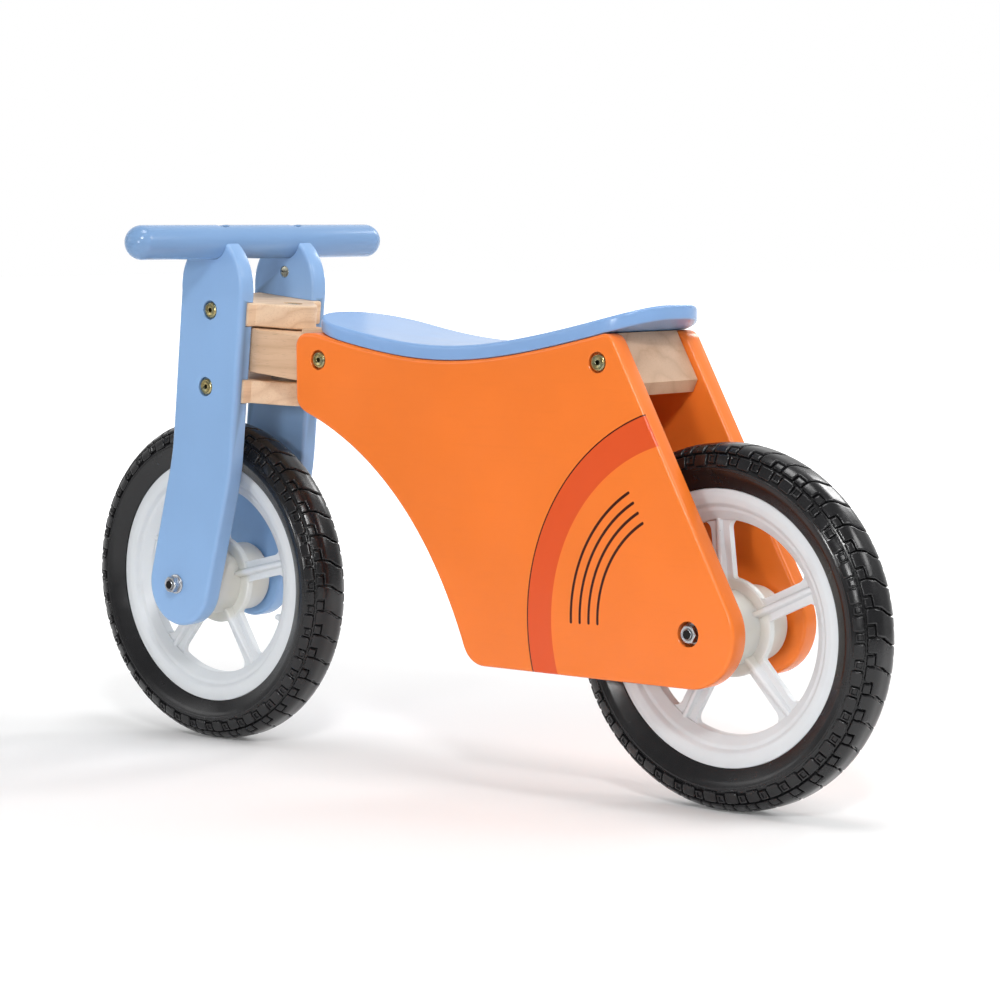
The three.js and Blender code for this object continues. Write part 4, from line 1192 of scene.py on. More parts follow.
@dataclass
class Layout:
    """The bike's shared sizes, and the places that follow from them and from the solids."""

    rake: float = 6.2
    fork_offset: float = 70.5
    tyre_radius: float = 145.0
    tyre_clearance: float = 25.6
    bridge_thickness: float = 20.7
    lower_gap: float = 7.1
    head_height: float = 38.3
    upper_gap: float = 1.6
    bar_rise: float = 49.4
    fork_gap: float = 73.0
    blade_thickness: float = 17.5
    panel_gap: float = 78.0
    panel_thickness: float = 18.0
    panel_setback: float = 59.5
    deck_drop: float = 1.4
    shoulder_rise: float = 2.7
    seat_front_setback: float = 1.0
    seat_length: float = 364.0
    seat_low_point: float = 166.0
    seat_sag: float = 20.1
    seat_bend_length: float = 110.0
    seat_front_rise: float = 31.5
    seat_rear_rise: float = 29.5
    seat_overhang: float = 23.0
    seat_gap: float = 0.3
    panel_back_corner: float = 8.0
    panel_bolt_inset: float = 26.7
    panel_bolt_drop: float = 22.6
    rear_bolt_inset: float = 13.1
    blade_setback: float = 11.2
    blade_width: float = 75.0
    bolt_line_shift: float = 0.2

    def __post_init__(self) -> None:
        """Works out the places."""
        front, rear = middle_of("front_tyre"), middle_of("rear_tyre")
        self.front_axle: Pair = (front.x, front.z)
        self.rear_axle: Pair = (rear.x, rear.z)
        turn = Matrix.Rotation(-radians(self.rake), 4, "Y")
        self.lean = moved(front.x, 0.0, front.z) @ turn
        self.pivot_x = -self.fork_offset
        self.lower_bridge = self.tyre_radius + self.tyre_clearance
        self.head_low = self.lower_bridge + self.bridge_thickness + self.lower_gap
        self.head_high = self.head_low + self.head_height
        self.upper_bridge = self.head_high + self.upper_gap
        self.bar_z = self.upper_bridge + self.bridge_thickness + self.bar_rise
        self.blade_back = self.pivot_x + self.blade_setback
        self.blade_front = self.blade_back + self.blade_width
        self.bolt_line = (self.blade_back + self.blade_front) / 2 - self.bolt_line_shift
        self.blade_inner = self.fork_gap / 2
        self.blade_outer = self.blade_inner + self.blade_thickness
        self.panel_outer = self.panel_gap / 2 + self.panel_thickness
        head = self.leaned(self.pivot_x, self.head_high)
        self.head_top: Pair = head
        self.deck = head[1] - self.deck_drop
        self.panel_front = head[0] - self.panel_setback
        self.seat_front = self.panel_front - self.seat_front_setback
        self.seat_rear = self.seat_front - self.seat_length
        self.seat_low_x = self.seat_front - self.seat_low_point
        self.panel_back = self.seat_rear + self.seat_overhang
        self.rear_deck_x = self.panel_back + self.panel_back_corner
        self.rear_deck = self.seat_under(self.rear_deck_x) - self.seat_gap
        self.back_corner: Pair = (self.panel_back, self.rear_deck)
        self.front_bolt: Pair = (
            self.panel_front - self.panel_bolt_inset,
            self.deck - self.panel_bolt_drop,
        )
        self.rear_bolt: Pair = (
            self.panel_back + self.rear_bolt_inset,
            self.rear_deck - self.panel_bolt_drop,
        )

    def leaned(self, along: float, up: float) -> Pair:
        """Returns where a point of the fork's frame lies in the bike's side view."""
        there = self.lean @ Vector((along, 0.0, up))
        return there.x, there.z

    def seat_under(self, x: float) -> float:
        """Returns the height of the seat's underside."""
        reach = (x - self.seat_low_x) / self.seat_bend_length
        rise = self.seat_front_rise if x > self.seat_low_x else self.seat_rear_rise
        return self.deck - self.seat_sag + rise * (sqrt(1 + reach * reach) - 1)

    def top_line(self, x: float, front_deck: float) -> float:
        """Returns the height of the panels' and blocks' tops."""
        level = front_deck if x > self.seat_low_x else self.rear_deck
        return min(level, self.seat_under(x) - self.seat_gap)

    def top_run(self, start: float, end: float, front_deck: float, step: float = 3.0) -> list[Pair]:
        """Draws the top line between two places.

        Args:
            start: First X.
            end: Last X.
            front_deck: Height of the level part in front of the seat's bend.
            step: Spacing of the points.

        Returns:
            The points, both ends included.
        """
        count = max(1, ceil(abs(end - start) / step))
        places = [start + (end - start) * i / count for i in range(count + 1)]
        return [(x, self.top_line(x, front_deck)) for x in places]


def rod(radius: float, low: float, high: float, segments: int = 32) -> Shell:
    """Returns a plain cylinder along Y, for cutting bores."""
    return turned([(0, low), (radius, low), (radius, high), (0, high)], segments)


def cuboid(low: Point, high: Point) -> Shell:
    """Returns a plain box, for cutting housings."""
    outline = [(low[0], low[1]), (high[0], low[1]), (high[0], high[1]), (low[0], high[1])]
    return layered([(outline, low[2]), (outline, high[2])], View.PLAN)


# ---- Wheels ----


@dataclass
class Tread:
    """The tread's blocks, laid out flat for one pitch and then wrapped round the tyre.

    Flat coordinates are the distance round the crown, the distance across from the crown's
    middle, and the height above the blocks' tops.
    """

    radius: float = 145.0
    section: float = 18.0
    flat: float = 4.0
    count: int = 40
    groove: float = 3.0
    ease: float = 1.25
    draft: float = 0.5
    gap: float = 1.05
    zig: Pair = (23.0, 4.2)
    zig_reach: float = 12.0
    shoulder: float = 19.4
    brick: Pair = (32.6, 40.6)
    lug: Pair = (23.4, 36.3)
    box: Pair = (37.6, 45.1)
    lug_span: Pair = (21.2, 31.4)
    box_span: Pair = (21.4, 29.0)
    pocket: float = 2.3
    pocket_depth: float = 1.3

    def wrap(self, around: float, across: float, height: float) -> Point:
        """Wraps a point of the flat layout round the tyre.

        Args:
            around: Distance round the crown.
            across: Distance across from the crown's middle.
            height: Height above the blocks' tops.

        Returns:
            The point about the axle, in millimetres.
        """
        side = copysign(1.0, across)
        lean = max(0.0, abs(across) - self.flat) / self.section
        level = self.section + height
        out = self.radius - self.section + level * cos(lean)
        y = side * (min(abs(across), self.flat) + level * sin(lean))
        angle = around / self.radius
        return out * cos(angle), y, out * sin(angle)

    def block(self, outline: Sequence[Corner], dip: float = 0.0) -> Shell:
        """Makes one block in the flat layout.

        Args:
            outline: Its corners and their radii.
            dip: How far its top lies below the highest blocks.

        Returns:
            The block, with eased top edges and drafted walls.
        """
        drawn = tidy(filleted(outline, 2))
        rows = [(self.ease + 0.35, -dip)]
        rows += [(self.ease * s, -dip - self.ease * c) for s, c in quarter(3)]
        rows.append((-self.draft, -self.groove - 0.9))
        return layered([(inset(drawn, shift), level) for shift, level in rows], View.PLAN)

    def pocketed(self, outline: Sequence[Corner], dip: float) -> Shell:
        """Makes a small block with a square pocket in its top.

        Args:
            outline: Its corners and their radii.
            dip: How far its top lies below the highest blocks.

        Returns:
            The block.
        """
        drawn = tidy(filleted(outline, 2))
        middle = [sum(p[i] for p in drawn) / len(drawn) for i in (0, 1)]
        half = self.pocket

        def squared(point: Pair, size: float) -> Pair:
            """Returns the point of a square that lies the same way from the middle."""
            across = max(abs(point[0] - middle[0]), abs(point[1] - middle[1]))
            share = size / across
            x, y = (m + (p - m) * share for m, p in zip(middle, point))
            return x, y

        floor = -dip - self.pocket_depth
        pocket = [(half - 0.9, floor), (half - 0.5, floor), (half, -dip - 0.2), (half + 0.25, -dip)]
        rows = [([squared(p, size) for p in drawn], level) for size, level in pocket]
        rows += [(inset(drawn, 0.7), -dip), (inset(drawn, 0.2), -dip - 0.2), (drawn, -dip - 0.7)]
        rows.append((inset(drawn, -self.draft), -self.groove - 0.9))
        return layered(rows, View.PLAN)

    def zigzag(self, shift: float) -> list[Corner]:
        """Returns the corners of the groove's line across the crown, moved along the tyre."""
        middle, lean = self.zig
        reach = self.zig_reach
        line = [(-lean, reach), (-lean * 0.55, 3.6), (lean * 0.55, -3.6), (lean, -reach)]
        return [(middle + across + shift, level, 1.0) for across, level in line]

    def layout(self) -> list[Shell]:
        """Returns the blocks of one pitch in the flat layout."""
        pitch = 2 * pi * self.radius / self.count
        centre = self.zig[0] + pitch / 2
        gap = self.gap

        def flipped(corners: Sequence[Corner]) -> list[Corner]:
            """Returns the corners turned half round, on the other side of the crown."""
            return [(2 * centre - a, -b, r) for a, b, r in corners]

        near, far = self.brick[0] - gap, self.brick[1] - pitch + gap
        half = [(far, self.zig_reach, 0.5), (far, self.shoulder, 1.2)]
        half += [(near - 0.6, self.shoulder, 1.2), (near - 0.6, self.zig_reach, 0.5)]
        right = self.zigzag(pitch - gap)
        crown = [*half, *right[:3], *flipped(half), *flipped(right[:3])]
        low, high = self.zig_reach + 0.9, self.shoulder
        brick = oblong(*self.brick, low, high, (0.6, 0.6))
        lug = oblong(*self.lug, *self.lug_span, (1.8, 1.8))
        box = oblong(*self.box, *self.box_span, (0.8, 0.8))
        shells = [self.block(crown), self.block(brick, 0.1), self.block(flipped(brick), 0.1)]
        shells += [self.block(lug, 0.1), self.block(flipped(lug), 0.1)]
        shells += [self.pocketed(box, 0.5), self.pocketed(flipped(box), 0.5)]
        return shells

    def pitch_mesh(self) -> bpy.types.Mesh:
        """Makes one pitch of blocks, wrapped about the axle.

        Returns:
            The mesh in metres, its axle along Y through the origin.
        """
        whole = bmesh.new()
        for shell in self.layout():
            whole.from_mesh(shell.mesh("block"))
        low = Vector((min(v.co.x for v in whole.verts), min(v.co.y for v in whole.verts)))
        high = Vector((max(v.co.x for v in whole.verts), max(v.co.y for v in whole.verts)))
        for axis, step in ((0, 3.8), (1, 2.4)):
            span = high[axis] - low[axis]
            count = int(span / (step * MM))
            sliced(whole, axis, [low[axis] + span * i / (count + 1) for i in range(1, count + 1)])
        for vert in whole.verts:
            vert.co = Vector(self.wrap(*(vert.co / MM))) * MM
        bmesh.ops.recalc_face_normals(whole, faces=whole.faces)
        mesh = bpy.data.meshes.new("tread_pitch")
        whole.to_mesh(mesh)
        whole.free()
        return mesh


@dataclass
class Wheel:
    """A wheel: a moulded rim with ribbed spokes, a solid tyre and two bearings."""

    end: str
    first_spoke: float
    rounds: Rounds
    tread: Tread = field(default_factory=Tread)
    rim_radius: float = 110.0
    rim_half: float = 14.5
    well_radius: float = 103.0
    well_half: float = 12.3
    window_radius: float = 85.0
    web_radius: float = 39.5
    web_half: float = 3.5
    spoke_half: float = 3.0
    spoke_width: float = 18.0
    spoke_count: int = 5
    rib_width: float = 4.0
    rib_heights: Pair = (10.5, 5.2)
    hub_radius: float = 30.5
    hub_half: float = 34.0
    bearing_radius: float = 11.0
    bearing_width: float = 7.0
    core_radius: float = 9.0
    axle_radius: float = 4.0
    peg_angle: float = 34.4
    peg_size: Pair = (5.0, 8.0)
    tread_start: float = 0.0

    def __post_init__(self) -> None:
        """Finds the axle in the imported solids."""
        middle = middle_of(f"{self.end}_tyre")
        self.axle: Point = (middle.x, 0.0, middle.z)
        self.body = f"{self.end}_wheel"
        self.place = moved(*self.axle)

    def build(self) -> None:
        """Makes the wheel's pieces and dresses them."""
        plastic = MouldedPlastic(
            f"{self.end}_white_plastic", "white_plastic", axle=(self.axle[0], self.axle[2])
        )
        dress(self.tyre(), RUBBER, self.body, [f"{self.end}_tyre"], 40.0)
        dress(self.rim(), plastic, self.body, [f"{self.end}_wheel_rim"], 34.0)
        for side, sign in SIDES:
            piece = self.bearing(f"{self.end}_bearing_{side}_races", sign)
            dress(piece, STEEL, self.body, [f"{self.end}_bearing_{side}"])

    def carcass(self) -> list[Pair]:
        """Returns the tyre's closed profile under the blocks, as radius and Y."""
        tread = self.tread
        middle = tread.radius - tread.section
        inner, outer = self.well_radius + GAP, self.rim_radius + GAP
        low = 0.4 - self.well_half
        bed = [(inner, low), (outer, low), (outer, -self.rim_half)]
        side: list[Pair] = []
        for i in range(49):
            lean = radians(115 * (1 - i / 48))
            below = degrees(lean)
            blend = min(1.0, max(0.0, (below - 76) / 16))
            sink = tread.groove * (1 - blend) + 0.25 * blend
            for ridge in (91.0, 96.5):
                sink -= 0.5 * max(0.0, 1 - abs(below - ridge) / 1.9)
            level = tread.section - max(0.0, sink)
            side.append((middle + level * cos(lean), -tread.flat - level * sin(lean)))
        mirrored = [(radius, -y) for radius, y in reversed([*bed, *side])]
        return [*bed, *side, *mirrored]

    def tyre(self) -> Piece:
        """Makes the tyre, its blocks joined to its carcass."""
        tyre = turned(self.carcass(), 200, ring=True).object(f"{self.end}_tyre_rubber", self.place)
        blocks = linked("blocks", self.tread.pitch_mesh())
        return combine(tyre, [self.round_of(blocks, self.tread.count, self.tread_start)], Join.ADD)

    def window(self) -> list[Pair]:
        """Returns the outline of the window after the first spoke, about the axle."""
        half, outer, inner = self.spoke_width / 2, self.window_radius + 0.6, self.web_radius
        pitch = 2 * pi / self.spoke_count
        corner, root = 7.0, 2.2

        def eased(radius: float, reach: float, side: int) -> tuple[Pair, float]:
            """Returns the centre of a corner's rounding, and its angle about the axle."""
            angle = asin((half + radius) / reach)
            angle = angle if side > 0 else pitch - angle
            return on_circle((0, 0), reach, angle), angle

        outline: list[Pair] = []
        for side in (1, -1):
            spoke = 0.0 if side > 0 else pitch
            across = spoke - side * pi / 2
            far, far_angle = eased(corner, outer - corner, side)
            near, near_angle = eased(root, inner + root, side)
            tip = arc(far, corner, across, far_angle, 7)
            if side > 0:
                foot = arc(near, root, near_angle + pi, across + 2 * pi, 4)
                outline += [*foot, *tip]
                start = far_angle
                continue
            rim = arc((0, 0), outer, start, far_angle, 14)[1:-1]
            outline += [*rim, *tip[::-1], *arc(near, root, across, near_angle + pi, 4)]
        first = atan2(outline[0][1], outline[0][0])
        last = atan2(outline[-1][1], outline[-1][0])
        return [*outline, *arc((0, 0), inner, last, first, 8)[1:-1]]

    def window_cutter(self) -> Piece:
        """Makes the cutter for all the windows, flared to ease their edges."""
        drawn = tidy(self.window())
        ease, half = 1.3, self.web_half
        rows = [(-ease - 0.2, half + 2.0), (-ease - 0.2, half + 0.2)]
        rows += [(-ease * s, half - ease * c) for s, c in quarter(5)]
        rows += [(shift, -level) for shift, level in reversed(rows)]
        shell = layered([(inset(drawn, shift), level) for shift, level in rows], View.SIDE)
        return self.round_of(shell.object("windows"), self.spoke_count, self.first_spoke)

    def round_of(self, piece: Piece, count: int, start: float) -> Piece:
        """Copies a piece evenly round the axle, from an angle in degrees."""
        values = {"Count": count, "First Angle": radians(start)}
        values |= {"Axle": tuple(a * MM for a in self.axle), "Finish": RUBBER.material()}
        return self.rounds.run(piece, values)

    def rim_profile(self) -> list[Pair]:
        """Returns the rim's closed, rounded profile as radius and Y."""
        half = [(self.window_radius, 4.5, 1.5), (92.4, 9.8, 4.0), (95.4, 10.3, 1.8)]
        half += [(98.2, 13.8, 3.0), (103.5, self.rim_half, 9.0), (self.rim_radius, 13.6, 0.8)]
        half += [(self.rim_radius, self.well_half, 0.3), (self.well_radius, self.well_half, 0.8)]
        return doubled(half, 6)

    def ribs(self) -> Piece:
        """Makes the tapered ribs along the middle of the spokes, wider at their roots."""
        start, end = self.hub_radius - 2, self.window_radius + 2
        base, half = self.spoke_half - 0.5, self.rib_width / 2
        flank = ((-1.8, 0.0), (-0.5, 0.5), (0.1, 0.86), (0.7, 0.97), (1.4, 1.0))
        rows = [(-half + out, share) for out, share in flank]
        rows += [(-level, share) for level, share in reversed(rows)]
        lines = []
        for level, share in rows:
            high, low = (base + (height - base) * share for height in self.rib_heights)
            lines.append(([(start, -high), (end, -low), (end, low), (start, high)], level))
        ribs = layered(lines, View.PLAN).object("ribs")
        return self.round_of(ribs, self.spoke_count, self.first_spoke)

    def peg(self) -> Piece:
        """Makes the small moulded peg inside the rim."""
        width, length = self.peg_size
        root, tip, half = self.window_radius + 3, self.window_radius + 1 - length, width / 2
        corners = [(root, -half, 0.0), (root, half, 0.0), (tip, half, 2.2), (tip, -half, 2.2)]
        shell = plate(filleted(corners, 6), -self.web_half, self.web_half, 1.2)
        angle = radians(self.first_spoke + self.peg_angle)
        turn = Matrix.Rotation(-angle, 4, "Y")
        return shell.object("peg", self.place @ turn)

    def rim(self) -> Piece:
        """Makes the one-piece rim, spokes and hub."""
        name = f"{self.end}_rim_moulding"
        inner = self.hub_radius - 1.5
        web = oblong(inner, self.window_radius + 4, -self.spoke_half, self.spoke_half, (0, 0))
        disc = turned(filleted(web), 160, ring=True).object(name, self.place)
        combine(disc, [self.window_cutter()], Join.CUT)
        others = [turned(self.rim_profile(), 160, ring=True).object("flanges", self.place)]
        collar = oblong(inner, self.web_radius, -self.web_half, self.web_half, (0, 1.6))
        others.append(turned(filleted(collar, 6), 96, ring=True).object("collar", self.place))
        others.append(turned(self.hub_profile(), 96, ring=True).object("hub", self.place))
        return combine(disc, [*others, self.ribs(), self.peg()], Join.ADD)

    def hub_profile(self) -> list[Pair]:
        """Returns the hub's closed profile, with a seat for each bearing."""
        seat = self.bearing_radius + GAP
        depth = self.hub_half - self.bearing_width - GAP
        edge, face, sunk = self.hub_radius, self.hub_half, self.hub_half - 0.8
        half = [(edge, face, 1.6), (edge - 5, face, 0.5), (edge - 5.8, sunk, 0.5)]
        half += [(seat + 5, sunk, 0.5), (seat + 4.2, face, 0.5), (seat, face, 0.4)]
        half += [(seat, depth, 0.0), (self.core_radius, depth, 0.0)]
        return doubled(half, 5)

    def bearing(self, name: str, sign: int) -> Piece:
        """Makes a bearing's two races with the sunk seal between them.

        Args:
            name: The piece's name.
            sign: One for the left bearing, minus one for the right.

        Returns:
            The bearing.
        """
        half = self.bearing_width / 2
        inner, outer = self.axle_radius + GAP, self.bearing_radius
        seal = half - 0.5
        corners = [(inner, -half, 0.3), (outer, -half, 0.4), (outer, half, 0.4)]
        corners += [(outer - 1.6, half, 0.2), (outer - 1.8, seal, 0.1), (inner + 1.8, seal, 0.1)]
        corners += [(inner + 1.6, half, 0.2), (inner, half, 0.3)]
        place = self.place @ moved(y=sign * (self.hub_half - half))
        turn = place if sign > 0 else place @ ABOUT
        return turned(filleted(corners, 3), 64, ring=True).object(name, turn)


# ---- Fasteners ----


def socketed(
    profile: Sequence[Pair], flats: float, floor: float, top: float, name: str
) -> Piece:
    """Turns a screw about Y and cuts a hexagonal socket in its head.

    Args:
        profile: The screw's profile as radius and Y.
        flats: Size of the socket across its flats.
        floor: Y of the socket's floor.
        top: Y of the head's face.
        name: The piece's name.

    Returns:
        The screw.
    """
    screw = turned(profile, 48).object(name)
    low, high = top - 0.35, top + 0.2
    lead = turned([(0, low), (flats / 2, low), (flats / 2 + 0.9, high), (0, high)], 36)
    cutters = [hexagon(flats, floor, top + 1).object("socket"), lead.object("lead")]
    return combine(screw, cutters, Join.CUT)


def counterbore(face: float, radius: float, depth: float, sign: int) -> Shell:
    """Returns the cutter of a counterbore along Y, with a lead at its face.

    Args:
        face: Distance of the face from the middle plane.
        radius: The counterbore's radius.
        depth: Its depth.
        sign: One for a face on the left, minus one for the right.

    Returns:
        The cutter.
    """
    profile = [(0, face - depth), (radius, face - depth), (radius, face - 0.4)]
    profile += [(radius + 0.6, face + 0.2), (radius + 0.6, face + 3), (0, face + 3)]
    return turned([(r, sign * y) for r, y in profile], 56)


@dataclass
class FurnitureBolts:
    """The flat-headed bolts that hold the panels to the blocks and the blades to the bridges."""

    layout: Layout
    scatter: Scatter
    radius: float = 3.0
    head_radius: float = 7.0
    head_height: float = 3.0
    socket: float = 4.0
    socket_depth: float = 2.2
    sink_depth: float = 3.6
    reach: float = 26.0

    def bolt(self, reach: float) -> Piece:
        """Makes one bolt with its head's seat at Y = 0 and its shank behind.

        Args:
            reach: Length of the shank.

        Returns:
            The bolt.
        """
        shank, head, top = self.radius, self.head_radius, self.head_height
        corners = [(0, -reach, 0), (shank - 0.6, -reach, 0), (shank, -reach + 0.8, 0)]
        corners += [(shank, 0, 0.2), (head, 0, 0.2), (head, top - 1.0, 0.5)]
        corners += [(head - 1.3, top, 0.7), (0, top, 0)]
        floor = top - self.socket_depth
        return socketed(filleted(corners, 4), self.socket, floor, top, "furniture_bolt")

    def build(self) -> None:
        """Makes the bolts of the frame and of the fork, one mesh for each body."""
        here = self.layout
        half = here.bridge_thickness / 2
        levels = (here.lower_bridge + half, here.upper_bridge + half)
        bridges = [here.leaned(here.bolt_line, level) for level in levels]
        blocks = [here.front_bolt, here.rear_bolt]
        inner = here.blade_inner + Bridges.dado
        self.group("panel", "frame", {"front": blocks[0], "rear": blocks[1]},
                   (here.panel_outer, here.panel_gap / 2), 0.0)
        self.group("fork", "fork", {"lower": bridges[0], "upper": bridges[1]},
                   (here.blade_outer, inner), radians(here.rake))

    def group(
        self, label: str, body: str, places: dict[str, Pair], faces: Pair, rake: float
    ) -> None:
        """Makes the bolts of one body, on both sides, and dresses them.

        Args:
            label: What the bolts hold.
            body: The moving body.
            places: Each pair's name and its place in the side view.
            faces: Distance of the outer and the inner face from the middle plane.
            rake: How far the bolts' sockets lean back, in radians.
        """
        outer, inner = faces
        y = outer - self.sink_depth + GAP
        spots = []
        for x, z in places.values():
            for _, sign in SIDES:
                about = 0.0 if sign > 0 else pi
                spots.append(((x, sign * y, z), (0.0, -sign * rake, about)))
        bolt = self.bolt(y - inner + self.reach)
        made = self.scatter.spread(f"{label}_bolts", bolt, spots, YELLOW_ZINC)
        nodes = [f"{end}_{label}_bolt_{side}" for end in places for side, _ in SIDES]
        dress(made, YELLOW_ZINC, body, nodes)


@dataclass
class HexBody:
    """Hexagonal heads and nuts with turned-down corners."""

    flats: float = 13.0

    def make(self, name: str, low: float, high: float, bore: float = 0.0) -> Piece:
        """Makes a hexagon along Y, its far corners turned down.

        Args:
            name: The piece's name.
            low: Y of its near face.
            high: Y of its far face.
            bore: Radius of its bore, or nought for none.

        Returns:
            The hexagon.
        """
        body = hexagon(self.flats, low, high).object(name)
        corner, face = self.flats / sqrt(3) + 0.3, self.flats / 2 - 0.25
        span = abs(high - low)
        way = 1 if high > low else -1
        profile = [(0, low - way), (corner, low - way), (corner, low + way * (span - 1.1))]
        profile += [(face, high), (face, high + way * 0.2), (0, high + way * 0.2)]
        combine(body, [turned(profile, 72).object("turning")], Join.KEEP)
        if bore > 0:
            hole = [(0, low - way), (bore, low - way), (bore, high - way * 0.9)]
            hole += [(bore + 1.0, high + way * 0.1), (0, high + way)]
            combine(body, [turned(hole, 40).object("bore")], Join.CUT)
        return body


@dataclass
class Axle:
    """An axle bolt with a flange and its flanged nut."""

    end: str
    body: str
    seat: float
    layout: Layout
    radius: float = 4.0
    flange_radius: float = 8.7
    flange: float = 1.6
    head: float = 5.3
    nut: float = 6.2
    proud: float = 1.2
    zinc: tuple[Colour, Colour] = ((0.6, 0.61, 0.63), (0.5, 0.52, 0.56))

    def build(self) -> None:
        """Makes the bolt and the nut and dresses them."""
        here = self.layout
        x, z = here.front_axle if self.end == "front" else here.rear_axle
        place = moved(x, 0.0, z)
        turn = place @ here.lean.to_3x3().to_4x4() if self.body == "fork" else place
        seat = self.seat + GAP
        under = seat + self.flange
        top = under + self.nut
        end = top + self.proud
        shank = [(0, -under), (self.radius, -under), (self.radius, end - 0.6)]
        shank += [(self.radius - 0.5, end), (0, end)]
        name = f"{self.end}_axle_zinc"
        # Painted shade: a dark disc on the bolt's end, and a 0.35 share of shade in inside corners.
        zinc = EndShadedMetal(name, "bright_zinc", *self.zinc, 0.25, 0.35, axle=(x, z))
        bolt = turned(shank, 40).object(f"{self.end}_axle_bolt_plated")
        ring = self.washer(-under, -seat)
        head = HexBody().make("head", -under + 0.4, -under - self.head)
        combine(bolt, [ring.object("flange"), head], Join.ADD)
        bolt.data.transform(metres(turn))
        dress(bolt, zinc, self.body, [f"{self.end}_axle_bolt"])
        nut = HexBody().make(f"{self.end}_axle_nut_plated", under - 0.4, top)
        combine(nut, [self.washer(under, seat).object("flange")], Join.ADD)
        bore = [(0, seat - 1), (AXLE_BORE, seat - 1), (AXLE_BORE, top - 0.7)]
        bore += [(self.radius + 1.2, top + 0.2), (0, top + 0.2)]
        combine(nut, [turned(bore, 40).object("bore")], Join.CUT)
        nut.data.transform(metres(turn))
        dress(nut, zinc, self.body, [f"{self.end}_axle_nut"])

    def washer(self, near: float, far: float) -> Shell:
        """Returns the flange, its outer edge eased on the side of the hexagon."""
        way = 1 if near > far else -1
        edge = self.flange_radius
        profile = [(0, far), (edge - 0.15, far), (edge, far + way * 0.2), (edge, near - way * 0.9)]
        profile += [(edge - 0.4, near - way * 0.35), (edge - 1.6, near), (0, near)]
        return turned(profile, 72)


def metres(place: Matrix) -> Matrix:
    """Returns a placement in millimetres as one for a mesh in metres."""
    made = place.copy()
    made.translation = place.translation * MM
    return made


# ---- Frame ----


@dataclass
class SidePanels:
    """The two painted plywood panels."""

    layout: Layout
    ease: float = 2.8
    foot_radius: float = 43.0
    foot_reach: float = 207.8
    toe: tuple[float, float, float] = (24.0, 20.0, 6.0)
    throat_drop: float = 54.2
    throat: tuple[float, float, float] = (11.4, 13.8, 5.0)
    arch_low: Pair = (34.0, 86.0)
    arch_high: Pair = (83.0, 32.0)
    corner: float = 12.0
    sink_radius: float = 10.0
    sink_depth: float = 7.8
    bolt_sink: Pair = (8.4, 3.6)

    def outline(self) -> list[Pair]:
        """Returns the side-view outline."""
        here = self.layout
        axle = here.rear_axle
        toe = (axle[0] + self.foot_reach, axle[1] - self.foot_radius)
        throat = (here.panel_front, here.deck - self.throat_drop)
        low = (toe[0] + self.toe[0], toe[1] + self.toe[1])
        high = (throat[0] - self.throat[0], throat[1] - self.throat[1])
        back = here.back_corner
        touch = line_touch(back, axle, self.foot_radius, 1)
        run = (sin(touch), -cos(touch))
        reach = here.panel_back_corner
        start = (back[0] - reach * run[0], back[1] - reach * run[1])
        level = here.deck - self.corner
        inner = (low[0] + self.arch_low[0], low[1] + self.arch_low[1])
        outer = (high[0] - self.arch_high[0], high[1] - self.arch_high[1])
        return [
            toe,
            *bezier([toe, (low[0] - self.toe[2], toe[1]), low], 12),
            *bezier([low, inner, outer, high], 64),
            *bezier([high, (throat[0], high[1] + self.throat[2]), throat], 10),
            *arc((here.panel_front - self.corner, level), self.corner, 0, pi / 2, 12),
            *here.top_run(here.panel_front - self.corner - 1, here.rear_deck_x, here.deck),
            *bezier([(here.rear_deck_x, here.rear_deck), back, start], 10),
            *arc(axle, self.foot_radius, touch, 1.5 * pi, 48),
        ]

    def build(self) -> None:
        """Makes both panels and dresses them."""
        here = self.layout
        drawn = self.outline()
        low, high = here.panel_gap / 2, here.panel_outer
        for side, sign in SIDES:
            shell = plate(drawn, *((low, high) if sign > 0 else (-high, -low)), self.ease)
            panel = shell.object(f"{side}_panel_painted")
            cutters = [rod(AXLE_BORE, -high - 5, high + 5)]
            cutters.append(counterbore(high, self.sink_radius, self.sink_depth, sign))
            places = [moved(here.rear_axle[0], 0, here.rear_axle[1])] * 2
            for x, z in (here.front_bolt, here.rear_bolt):
                sink = counterbore(high, *self.bolt_sink, sign)
                cutters += [rod(BOLT_BORE, -high - 5, high + 5), sink]
                places += [moved(x, 0, z)] * 2
            tools = [c.object("bore", place) for c, place in zip(cutters, places)]
            combine(panel, tools, Join.CUT)
            dress(panel, ORANGE, "frame", [f"{side}_side_panel"])


